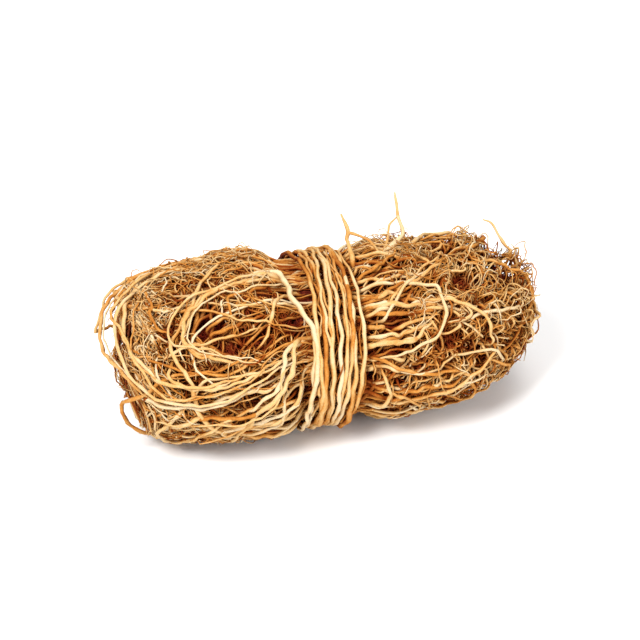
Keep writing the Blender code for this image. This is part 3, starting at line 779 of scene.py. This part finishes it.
def waves_along(paths, wavelengths):
    """The least and the most waves that fit along each root, from the longest and shortest wavelength."""
    length = np.linalg.norm(np.diff(paths, axis=1), axis=2).sum(axis=1)[:, None]
    shortest, longest = wavelengths
    return length / longest, length / shortest


def kinked(rng, paths, size, wavelengths):
    """The same paths with the small kinks of a dried root."""
    number, count, _ = paths.shape
    waves = waves_along(paths, wavelengths)
    kinks = np.stack([sways(rng, number, count, waves, zigzag) for _ in range(3)], axis=-1)
    return paths + size * kinks


def sink_to(points, shell):
    """Moves points straight in or out until they lie on that shell."""
    for _ in range(3):
        out = outwards(points)
        here = fullness(points)
        slope = (fullness(points + MM * out) - here) / MM
        points = points + out * ((shell - here) / slope)[:, None]
    return points


def wander(starts, ahead, shells, steps, bends, edges):
    """Paths that walk over the hank's shells, each step turning by its bend. They dip into the hollows
    no more steeply than a root bends, and turn back from the gap's edge."""
    count = shells.shape[1]
    shell = np.minimum(shells[:, 0], highest_shell(starts))
    points = leave_gap(sink_to(starts, shell), edges)
    path = [points]
    for i in range(1, count):
        out = outwards(points)
        ahead = turned(square_to(ahead, out), out, bends[:, i, None])
        points = points + ahead * steps[:, None]
        dip = STEEPEST * steps
        wanted = np.minimum(shells[:, i], highest_shell(points))
        shell = np.minimum(np.clip(wanted, shell - dip, shell + dip), waist_shell(points))
        points = sink_to(points, shell)
        kept = leave_gap(points.copy(), edges)
        ahead[:, 0] = np.where(kept[:, 0] > points[:, 0], np.abs(ahead[:, 0]), ahead[:, 0])
        points = kept
        path.append(points)
    return np.stack(path, axis=1)


def along_flow(rng, points, spread):
    """Headings that follow the loops round the left end and run out along the right end."""
    out = outwards(points)
    front, back = (place(LOOPS_TURN_ROUND, angle) for angle in LOOPS_TURN_AT)
    nearer = np.linalg.norm(points - front, axis=1) < np.linalg.norm(points - back, axis=1)
    centre = np.where(nearer[:, None], front, back)
    round_about = unit(np.cross(out, points - centre))
    straight = square_to(np.array([1.0, 0, 0]), out)
    left = smooth_step(-points[:, :1], *LEFT_LOBE)
    ahead = unit(round_about * left + straight * (1 - left))
    return turned(ahead, out, rng.normal(0, 1, (len(points), 1)) * spread)


def rootlets(rng, count, number, stations, angles, shells, rise, diameters, lengths, curl, spread,
             arched=False):
    """Fine roots that start anywhere in a stretch of the hank and curl over it. Arched ones come back
    down to it."""
    radii = rng.uniform(*diameters, number) / 2
    starts = place(rng.uniform(*stations, number), rng.uniform(*angles, number))
    ahead = along_flow(rng, starts, spread)
    long = rng.uniform(*lengths, number)
    low = rng.uniform(*shells, (number, 1))
    t = np.linspace(0, 1, count)
    climb = np.sin(np.pi * t) if arched else t**1.5
    shell = low + rng.uniform(*rise, (number, 1)) * climb
    shell = shell + ROOTLET_SWAY * sways(rng, number, count, (1, 4))
    steady = rng.normal(0, ROOTLET_CURL, (number, 1))
    bends = curl * (steady + ROOTLET_WIGGLE * sways(rng, number, count, ROOTLET_WAVES))
    paths = wander(starts, ahead, shell, long / (count - 1), bends, rng.uniform(*GAP_EDGES, number))
    return above_floor(paths, radii[:, None]), radii


def twigs(rng, paths, count, number, diameters, lengths):
    """Side roots that leave other roots at a slant."""
    which = rng.integers(0, len(paths), number)
    where = rng.integers(2, paths.shape[1] - 2, number)
    starts = paths[which, where]
    ahead = unit(paths[which, where + 1] - starts)
    out = outwards(starts)
    ahead = turned(ahead, out, rng.choice((-1, 1), (number, 1)) * rng.uniform(*TWIG_SLANT, (number, 1)))
    radii = rng.uniform(*diameters, number) / 2
    t = np.linspace(0, 1, count)
    shell = fullness(starts)[:, None] + rng.uniform(*TWIG_RISE, (number, 1)) * t
    bends = TWIG_BEND * (rng.normal(0, 0.5, (number, 1)) + sways(rng, number, count, (1, 3)))
    steps = rng.uniform(*lengths, number) / (count - 1)
    made = wander(starts, ahead, shell, steps, bends, rng.uniform(*GAP_EDGES, number))
    return above_floor(made, radii[:, None]), radii


def rings_round(points, radii, relief):
    """The rings of many tubes at once. relief (roots, rings, sides) scales each ring's points."""
    steps = np.gradient(points, axis=1)
    ahead = unit(steps)
    sides = relief.shape[2]
    turn = 2 * np.pi * np.arange(sides) / sides
    across = np.cross(ahead[:, 0], ANY_DIRECTION)
    rings = np.empty((*points.shape[:2], sides, 3))
    for i in range(points.shape[1]):
        across = square_to(across, ahead[:, i])
        other = np.cross(ahead[:, i], across)
        spokes = np.cos(turn)[:, None] * across[:, None] + np.sin(turn)[:, None] * other[:, None]
        rings[:, i] = points[:, i, None] + spokes * (radii[:, i, None] * relief[:, i])[..., None]
    tips = np.stack([points[:, 0] - ahead[:, 0] * radii[:, :1],
                     points[:, -1] + ahead[:, -1] * radii[:, -1:]], axis=1)
    return rings, tips


def tube_faces(number, count, sides):
    """Vertex numbers of the quads and of the tip triangles of many tubes."""
    ring = np.arange(number * count * sides).reshape(number, count, sides)
    after = np.roll(ring, -1, axis=2)
    quads = np.stack([ring[:, :-1], after[:, :-1], after[:, 1:], ring[:, 1:]], axis=-1)
    tips = number * count * sides + np.arange(2 * number).reshape(number, 2)
    first = np.broadcast_to(tips[:, :1], (number, sides))
    last = np.broadcast_to(tips[:, 1:], (number, sides))
    triangles = np.stack([np.stack([first, after[:, 0], ring[:, 0]], axis=-1),
                          np.stack([last, ring[:, -1], after[:, -1]], axis=-1)], axis=1)
    return quads.reshape(-1, 4), triangles.reshape(-1, 3)


def tube_map(number, count, sides):
    """A strip of the unit square for each tube, so that each can be painted by itself."""
    columns = max(1, round(math.sqrt(number * 3)))
    rows = math.ceil(number / columns)
    margin = 0.08
    index = np.arange(number)
    left = (index % columns)[:, None, None]
    low = (index // columns)[:, None, None]
    side = np.arange(sides)[None, None, :]
    ring = np.arange(count)[None, :, None]

    def spot(side, ring):
        u = (left + margin + (1 - 2 * margin) * side / sides) / columns
        v = (low + margin + (1 - 2 * margin) * (ring + 1) / (count + 1)) / rows
        return np.stack(np.broadcast_arrays(u, v), axis=-1)

    lower, upper = ring[:, :-1], ring[:, 1:]
    quads = np.stack([spot(side, lower), spot(side + 1, lower), spot(side + 1, upper), spot(side, upper)],
                     axis=-2)
    start, end = ring[:, :1], ring[:, -1:]
    first = np.stack([spot(side + 0.5, start - 1), spot(side + 1, start), spot(side, start)], axis=-2)
    last = np.stack([spot(side + 0.5, end + 1), spot(side, end), spot(side + 1, end)], axis=-2)
    triangles = np.concatenate([first, last], axis=1)
    return quads.reshape(-1, 2), triangles.reshape(-1, 2)


def mesh_object(name, vertices, quads, triangles, uv):
    mesh = bpy.data.meshes.new(name)
    mesh.vertices.add(len(vertices))
    vertices = bent(vertices)
    vertices[:, 2] = np.maximum(vertices[:, 2], 0)
    mesh.vertices.foreach_set("co", vertices.astype(np.float32).ravel())
    corners = np.concatenate([quads.ravel(), triangles.ravel()]).astype(np.int32)
    starts = np.concatenate([4 * np.arange(len(quads)),
                             quads.size + 3 * np.arange(len(triangles))]).astype(np.int32)
    mesh.loops.add(len(corners))
    mesh.loops.foreach_set("vertex_index", corners)
    mesh.polygons.add(len(starts))
    mesh.polygons.foreach_set("loop_start", starts)
    mesh.update(calc_edges=True)
    layer = mesh.uv_layers.new(name="OFBake")
    layer.uv.foreach_set("vector", np.asarray(uv, np.float32).ravel())
    mesh.shade_smooth()
    made = bpy.data.objects.new(name, mesh)
    made.location.x, made.location.y = BASE_SHIFT
    bpy.context.scene.collection.objects.link(made)
    return made


def point_values(obj, name, values):
    attribute = obj.data.attributes.new(name, "FLOAT", "POINT")
    attribute.data.foreach_set("value", np.asarray(values, np.float32).ravel())


def strands(name, rng, paths, radii, sides, tones, ends, lumps, ridges=0.0, shade_depth=None):
    """Many roots as one piece. ends are the shares of the thickness left at the first and last tip.
    The last argument gives how deep in the mat each ring lies, which sets its painted shade: by default its
    shell, raised at the left end, which gets less painted shade. A root's inner side is painted darker, as
    shade."""
    number, count, _ = paths.shape
    t = np.linspace(0, 1, count)
    taper = np.interp(t, TAPER_PLACES, (ends[0], 1, 0.9, ends[1]))
    lumpy = sways(rng, number, count, waves_along(paths, LUMPS))
    widths = radii.reshape(number, -1) * taper * (1 + lumps * lumpy)
    relief = np.ones((number, count, sides))
    if ridges:
        waves = [np.repeat(limit, sides, axis=0) for limit in waves_along(paths, RIDGES)]
        wrinkles = sways(rng, number * sides, count, waves)
        relief += ridges * wrinkles.reshape(number, sides, count).transpose(0, 2, 1)
    rings, tips = rings_round(paths, widths, relief)
    quads, triangles = tube_faces(number, count, sides)
    uv = np.concatenate(tube_map(number, count, sides))
    vertices = np.concatenate([rings.reshape(-1, 3), tips.reshape(-1, 3)])
    made = mesh_object(name, vertices, quads, triangles, uv)
    per_ring = np.broadcast_to(tones[:, None, None], (number, count, sides)).reshape(-1)
    point_values(made, "tone", np.concatenate([per_ring, np.repeat(tones, 2)]))
    # Painted shade: a ring's depth in the mat sets how dark it is painted; by default its shell, with less
    # painted shade at the open left end
    if shade_depth is None:
        shade_depth = fullness(paths) + UNSHADED_END * smooth_step(-paths[..., 0], *UNSHADED_STATIONS)
    # Painted shade: the side of each root that faces into the hank is painted darker
    facing = np.sum(unit(rings - paths[:, :, None]) * outwards(paths)[:, :, None], axis=-1)
    side_shaded = shade_depth[..., None] + INNER_SIDE_SHADE * (facing - 1)
    point_values(made, "shade_depth", np.concatenate([side_shaded.reshape(-1), shade_depth[:, [0, -1]].reshape(-1)]))
    return made


def ramp(tree, stops):
    made = tree.nodes.new("ShaderNodeValToRGB")
    elements = made.color_ramp.elements
    while len(elements) < len(stops):
        elements.new(0.5)
    for element, (position, colour) in zip(elements, stops):
        element.position = position
        element.color = (*colour, 1)
    return made


def attribute(tree, name):
    made = tree.nodes.new("ShaderNodeAttribute")
    made.attribute_name = name
    return made.outputs["Fac"]


def maths(tree, operation, *inputs):
    made = tree.nodes.new("ShaderNodeMath")
    made.operation = operation
    for i, value in enumerate(inputs):
        if isinstance(value, (int, float)):
            made.inputs[i].default_value = value
        else:
            tree.links.new(value, made.inputs[i])
    return made.outputs[0]


def noise(tree, scale, detail, where):
    made = tree.nodes.new("ShaderNodeTexNoise")
    made.inputs["Scale"].default_value = scale
    made.inputs["Detail"].default_value = detail
    tree.links.new(where, made.inputs["Vector"])
    return made.outputs["Fac"]


def map_range(tree, value, ends, smooth=False):
    """value, mapped between ends: the lowest and highest input, then what they become."""
    made = tree.nodes.new("ShaderNodeMapRange")
    if smooth:
        made.interpolation_type = "SMOOTHSTEP"
    for name, end in zip(("From Min", "From Max", "To Min", "To Max"), ends):
        made.inputs[name].default_value = end
    tree.links.new(value, made.inputs["Value"])
    return made.outputs["Result"]


def new_material(name):
    material = bpy.data.materials.new(name)
    material.use_nodes = True
    return material, material.node_tree, material.node_tree.nodes["Principled BSDF"]


def matt_and_rough(tree, shader, height, strength, distance):
    """Hardly any gloss, and a relief from height."""
    relief = tree.nodes.new("ShaderNodeBump")
    relief.inputs["Strength"].default_value = strength
    relief.inputs["Distance"].default_value = distance
    tree.links.new(height, relief.inputs["Height"])
    tree.links.new(relief.outputs["Normal"], shader.inputs["Normal"])
    shader.inputs["Specular IOR Level"].default_value = GLOSS


def bark(name, bump):
    """Dry root bark: each root has its own tone, blotched along its length, and is painted darker and
    rustier as shade deep in the mat and on its inner side.
    """
    material, tree, shader = new_material(name)
    where = tree.nodes.new("ShaderNodeTexCoord").outputs["Object"]
    blotches = noise(tree, BLOTCH_SCALE, 3, where)
    grain = noise(tree, GRAIN_SCALE, 3, where)
    shade_depth = attribute(tree, "shade_depth")
    tone = attribute(tree, "tone")
    for pattern, share in ((blotches, BLOTCHES), (grain, GRAIN)):
        change = maths(tree, "MULTIPLY_ADD", pattern, share, -share / 2)
        tone = maths(tree, "ADD", tone, change)
    # Painted shade: deeper rings are painted rustier and mixed towards the deep shade
    tone = maths(tree, "ADD", tone, map_range(tree, shade_depth, SHADED_TONE_BY_DEPTH))
    colours = ramp(tree, BARK_COLOURS)
    tree.links.new(tone, colours.inputs["Fac"])
    mix = tree.nodes.new("ShaderNodeMix")
    mix.data_type = "RGBA"
    mix.inputs["A"].default_value = (*DEEP_SHADE, 1)
    tree.links.new(map_range(tree, shade_depth, LIGHT_BY_DEPTH, smooth=True), mix.inputs["Factor"])
    tree.links.new(colours.outputs["Color"], mix.inputs["B"])
    tree.links.new(mix.outputs["Result"], shader.inputs["Base Color"])
    tree.links.new(map_range(tree, grain, BARK_ROUGHNESS), shader.inputs["Roughness"])
    matt_and_rough(tree, shader, grain, bump, RELIEF_HEIGHT)
    return material


def tones_of(rng, paths, middle, spread=TONE_SPREAD):
    """A tone for each root: paler at the upper left, browner to the right."""
    heart = paths.mean(axis=1)
    by_place = PALER_ABOVE * (heart[:, 2] - TONE_HEIGHT) - PALER_TO_THE_LEFT * heart[:, 0]
    return middle + rng.normal(0, spread, len(paths)) + by_place


def finish_piece(piece, material, nodes=()):
    piece.data.materials.append(material)
    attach(piece, "root")
    if nodes:
        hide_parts(*nodes)


def core(material):
    """The matted middle, seen only in the gaps between the roots, painted very dark as the shade there."""
    rng = np.random.default_rng(SEED + 500)
    stations = LAST_STATION * np.sin(np.linspace(-1, 1, CORE_STATIONS)[1:-1] * np.pi / 2)
    turn = 2 * np.pi * np.arange(CORE_SIDES) / CORE_SIDES
    lumps = 0
    for size, along, around in CORE_LUMPS:
        first, second = rng.uniform(0, 2 * np.pi, 2)
        lumps = lumps + size * np.sin(along * stations[:, None] + first) * np.sin(around * turn + second)
    out = smooth_step(np.abs(stations - WAIST_STATION), *CORE_WAIST)[:, None]
    shell = CORE_WAIST_SHELL + (CORE_SHELL - CORE_WAIST_SHELL) * out + lumps
    middle = 1 - smooth_step(np.abs(stations), *CORE_FOOT_STATIONS)[:, None]
    shell = shell + CORE_FOOT * smooth_step(-np.sin(turn), *CORE_FOOT_SIDES) * middle * out
    rings = place(np.broadcast_to(stations[:, None], shell.shape), np.degrees(turn), shell)
    rings = above_floor(rings, 0)
    tips = np.array([rings[0].mean(axis=0), rings[-1].mean(axis=0)])
    quads, triangles = tube_faces(1, len(stations), CORE_SIDES)
    uv = np.concatenate(tube_map(1, len(stations), CORE_SIDES))
    made = mesh_object("shaded_core", np.vstack([rings.reshape(-1, 3), tips]), quads, triangles, uv)
    finish_piece(made, material)


def shaded_core_material():
    material, tree, shader = new_material("shaded_core")
    where = tree.nodes.new("ShaderNodeTexCoord").outputs["Object"]
    fibres = noise(tree, MAT_SCALE, 4, where)
    # Painted shade: the core is painted very dark, as the shade between the roots
    colours = ramp(tree, CORE_SHADE_COLOURS)
    tree.links.new(fibres, colours.inputs["Fac"])
    tree.links.new(colours.outputs["Color"], shader.inputs["Base Color"])
    shader.inputs["Roughness"].default_value = 0.95
    matt_and_rough(tree, shader, fibres, 0.8, 0.001)
    return material


def leaning(station, angle):
    """The binding's turns slant a little across the hank."""
    return station + BINDING_SLANT * np.sin(np.radians(angle - BINDING_LEANS_AT))


def binding(number, turns, first_turn, material):
    """One root wound round the waist, a little uneven, over and under its neighbours."""
    rng = np.random.default_rng(SEED + 9100 + number)
    count = turns * BINDING_RINGS_A_TURN

    def uneven(least, most):
        """A wander with between least and most waves on each turn."""
        return sways(rng, 1, count, (least * turns, most * turns))[0]

    wound = first_turn + np.linspace(0, turns - BINDING_GAP, count)
    angle = BINDING_ENDS_AT + 360 * wound
    station = WAIST_STATION + BINDING_PITCH * (wound - sum(BINDING_TURNS) / 2)
    station = leaning(station, angle) + BINDING_WAVE * uneven(1.2, 3.5)
    radius = BINDING_DIAMETER / 2 * (BINDING_THICKNESS[0] + BINDING_THICKNESS[1] * uneven(0.6, 2.2))
    base = place(station, angle)
    lift = radius + BINDING_PILE * (1 + uneven(1, 3))
    path = kinked(rng, (base + outwards(base) * lift[:, None])[None], *BINDING_KINKS)
    path = above_floor(path, radius)
    # Painted shade: the binding is painted darker where it lies low under its neighbours, lighter where it
    # rides over them
    shade_depth = BINDING_SHADE_DEPTH + (lift - radius) / BINDING_PILE * (1 - BINDING_SHADE_DEPTH) / 2
    made = strands(f"binding_strand_{number + 1}", rng, path, radius[None], BINDING_SIDES, np.zeros(1),
                   BINDING_ENDS, 0.12, 0.14, shade_depth[None])
    tones = BINDING_TONES[0] + BINDING_TONES[1] * uneven(0.7, 1.8)
    shades = np.append(np.repeat(tones, BINDING_SIDES), tones[[0, -1]])
    made.data.attributes["tone"].data.foreach_set("value", shades.astype(np.float32))
    finish_piece(made, material, (f"binding_root_{number + 1}",))


def binding_fibres(material):
    """Thin roots tucked between the turns, and the root that crosses the binding's edge."""
    rng = np.random.default_rng(SEED + 9200)
    number, count = BINDING_FIBRES, 2 * MEDIUM_RINGS
    t = np.linspace(0, 1, count)
    begin = rng.uniform(0, 360, (number, 1))
    angle = begin + rng.uniform(*FIBRE_TURN, (number, 1)) * t
    station = WAIST_STATION + rng.uniform(-FIBRE_REACH, FIBRE_REACH, (number, 1))
    station = station + FIBRE_STRAY * rng.normal(0, 1, (number, 1)) * t
    station = leaning(station, angle) + BINDING_WAVE * sways(rng, number, count, (2, 5))
    shell = FIBRE_SHELL + FIBRE_SPREAD * rng.uniform(0, 1, (number, 1))
    shell = shell + FIBRE_WEAVE * sways(rng, number, count, (2, 6))
    shell = shell - FIBRE_TUCK * (1 - np.sin(np.pi * t) ** 0.3)
    diameter, *knots = BAND_EDGE_ROOT
    edge = smooth_path(knot_places(knots)[0], count)
    paths = np.concatenate([place(station, angle, shell), edge[None]])
    paths = kinked(rng, paths, FIBRE_KINK, SHORT_KINKS)
    radii = np.append(rng.uniform(*FIBRE_RADII, number), diameter * MM / 2)
    paths = above_floor(paths, radii[:, None])
    tones = np.append(rng.normal(*FIBRE_TONES, number), BAND_EDGE_TONE)
    # Painted shade: the tucked roots are painted darker, as shade between the turns; the root on the edge is
    # painted unshaded
    shade_depth = np.full(paths.shape[:2], BINDING_SHADE_DEPTH)
    shade_depth[-1] = 1
    made = strands("binding_fibres", rng, paths, radii, MEDIUM_SIDES, tones, FIBRE_ENDS, 0.12, 0.10, shade_depth)
    finish_piece(made, material)


def gap_rootlets(rng):
    """A few fine roots that cross the far loop's gap."""
    number = GAP_ROOTLETS
    t = np.linspace(0, 1, FINE_RINGS)
    station = GAP_START - GAP_WIDTH * t + 0.0010 * sways(rng, number, FINE_RINGS, (1, 4))
    angle = rng.uniform(*GAP_ANGLES, (number, 1)) + rng.uniform(*GAP_TURNS, (number, 1)) * t
    angle = angle + 5 * sways(rng, number, FINE_RINGS, (1, 4))
    shell = 0.99 + 0.02 * sways(rng, number, FINE_RINGS, (1, 3))
    return place(station, angle, shell), rng.uniform(*GAP_RADII, number)


def build_main(thick):
    """The roots that the solids hold. They show thinner here, with the kinks of dried roots."""
    rng = np.random.default_rng(SEED + 1)
    main, radii = main_routes()
    showing, named = len(SHOWING_ROOTS), len(SHOWING_ROOTS) + len(STANDING_ROOTS)
    crooked = np.ones((len(radii), 1, 1))
    crooked[showing:named] = STANDING_KINKS
    for size, wavelengths in MAIN_KINKS:
        main = kinked(rng, main, size * crooked, wavelengths)
    radii[:showing] *= SHOWING_SLIMMER
    radii[named:] *= SLIMMER
    tones = tones_of(rng, main, PIECE_TONES["main_roots"], MAIN_TONE_SPREAD)
    for name, tone in SHOWING_TONES.items():
        tones[list(SHOWING_ROOTS).index(name)] = tone
    pieces = strands("main_roots", rng, main, radii, MAIN_SIDES, tones, THICK_ENDS, 0.16, 0.14)
    finish_piece(pieces, thick, ("root_hank",))
    return np.delete(main, range(showing, named), axis=0)


def build_medium(thick):
    """Thinner roots between the main ones, and those that were read one by one from the photograph."""
    rng = np.random.default_rng(SEED + 2)
    radii = np.array([diameter * MM / 2 for diameter, *_ in FINER_ROOTS])
    paths = [showing_route(knots, radius, MEDIUM_RINGS) for (_, *knots), radius in zip(FINER_ROOTS, radii)]
    groups = [companions(rng, *row) for row in LEFT_COMPANIONS]
    groups += [clear_of_hollows(*fine_loops(rng, *row)) for row in LEFT_FINER_LOOPS[:CLEAR_ROWS]]
    groups += [fine_loops(rng, *row) for row in LEFT_FINER_LOOPS[CLEAR_ROWS:]]
    medium_piece("left_roots", rng, groups, thick)
    groups = [clear_of_hollows(*fine_runs(rng, *RIGHT_FINER_RUNS)), fine_loops(rng, *RIGHT_FINER_LOOPS)]
    medium_piece("right_roots", rng, groups, thick)
    medium_piece("single_roots", rng, [(np.array(paths), FINER_SLIMMER * radii)], thick)


def build_fine(thin, main):
    """The rootlets that lie on the hank, and side roots of the main ones."""
    rng = np.random.default_rng(SEED + 3)
    for name, rings, sides, thinned, rows in ROOTLET_PIECES:
        groups = [rootlets(rng, rings, *row) for row in rows]
        if thinned:
            groups = [open_rim(rng, *group) for group in groups]
        if name == "left_curls":
            groups.append(twigs(rng, main, rings, *TWIGS))
        fine_piece(name, rng, groups, thin, sides)


def build_frizz(thin):
    """Fine roots that stand off the hank and blur its outline."""
    rng = np.random.default_rng(SEED + 4)
    groups = [rootlets(rng, FINE_RINGS, *row) for row in EDGE_ROOTLETS]
    fine_piece("edge_rootlets", rng, [*groups, gap_rootlets(rng)], thin, FINE_SIDES)


def build_roots():
    thick = bark("thick_root_bark", THICK_RELIEF)
    thin = bark("fine_root_bark", THIN_RELIEF)
    core(shaded_core_material())
    main = build_main(thick)
    build_medium(thick)
    build_fine(thin, main)
    build_frizz(thin)


def together(groups):
    """The paths and the radii of all the groups."""
    return [np.concatenate(parts) for parts in zip(*groups)]


def medium_piece(name, rng, groups, material):
    paths, radii = together(groups)
    for size, wavelengths in MEDIUM_KINKS:
        paths = kinked(rng, paths, size, wavelengths)
    tones = tones_of(rng, paths, PIECE_TONES[name])
    made = strands(name, rng, paths, radii, MEDIUM_SIDES, tones, THICK_ENDS, 0.17, 0.12)
    finish_piece(made, material)


def fine_piece(name, rng, groups, material, sides):
    paths, radii = together(groups)
    made = strands(name, rng, paths, radii, sides, tones_of(rng, paths, PIECE_TONES[name]), THIN_ENDS, 0.10)
    finish_piece(made, material)


def build_binding():
    material = bark("binding_bark", THICK_RELIEF)
    for number, turns in enumerate(BINDING_TURNS):
        binding(number, turns, sum(BINDING_TURNS[:number]), material)
    binding_fibres(material)


def area_light(name, place_at, size, power):
    data = bpy.data.lights.new(name, "AREA")
    data.size = size
    data.energy = power
    made = bpy.data.objects.new(name, data)
    bpy.context.scene.collection.objects.link(made)
    aim(made, place_at, LIT_POINT)


def aim(obj, place_at, target):
    obj.location = place_at
    obj.rotation_mode = "QUATERNION"
    obj.rotation_quaternion = (Vector(target) - Vector(place_at)).to_track_quat("-Z", "Y")


def studio():
    bpy.ops.mesh.primitive_plane_add(size=6)
    floor = bpy.context.object
    floor.name = "floor"
    material, _, shader = new_material("floor")
    shader.inputs["Base Color"].default_value = FLOOR_COLOUR
    shader.inputs["Roughness"].default_value = 0.9
    floor.data.materials.append(material)
    world = bpy.data.worlds.new("studio")
    bpy.context.scene.world = world
    world.use_nodes = True
    background = world.node_tree.nodes["Background"]
    background.inputs["Color"].default_value = (1, 1, 1, 1)
    background.inputs["Strength"].default_value = WORLD_LIGHT
    for light in LIGHTS:
        area_light(*light)
    bpy.context.scene.view_settings.view_transform = "Standard"


def camera():
    right, up, back = camera_axes()
    offset = (np.array(HANK_PIXEL) - PIXELS / 2) / PIXELS_A_METRE
    target = np.array(HANK_MIDDLE) - right * offset[0] + up * offset[1]
    data = bpy.data.cameras.new("camera")
    data.sensor_width = SENSOR
    data.lens = SENSOR * CAMERA_DISTANCE * PIXELS_A_METRE / PIXELS
    made = bpy.data.objects.new("camera", data)
    bpy.context.scene.collection.objects.link(made)
    aim(made, tuple(target + back * CAMERA_DISTANCE), tuple(target))
    bpy.context.scene.camera = made


build_roots()
build_binding()
studio()
camera()
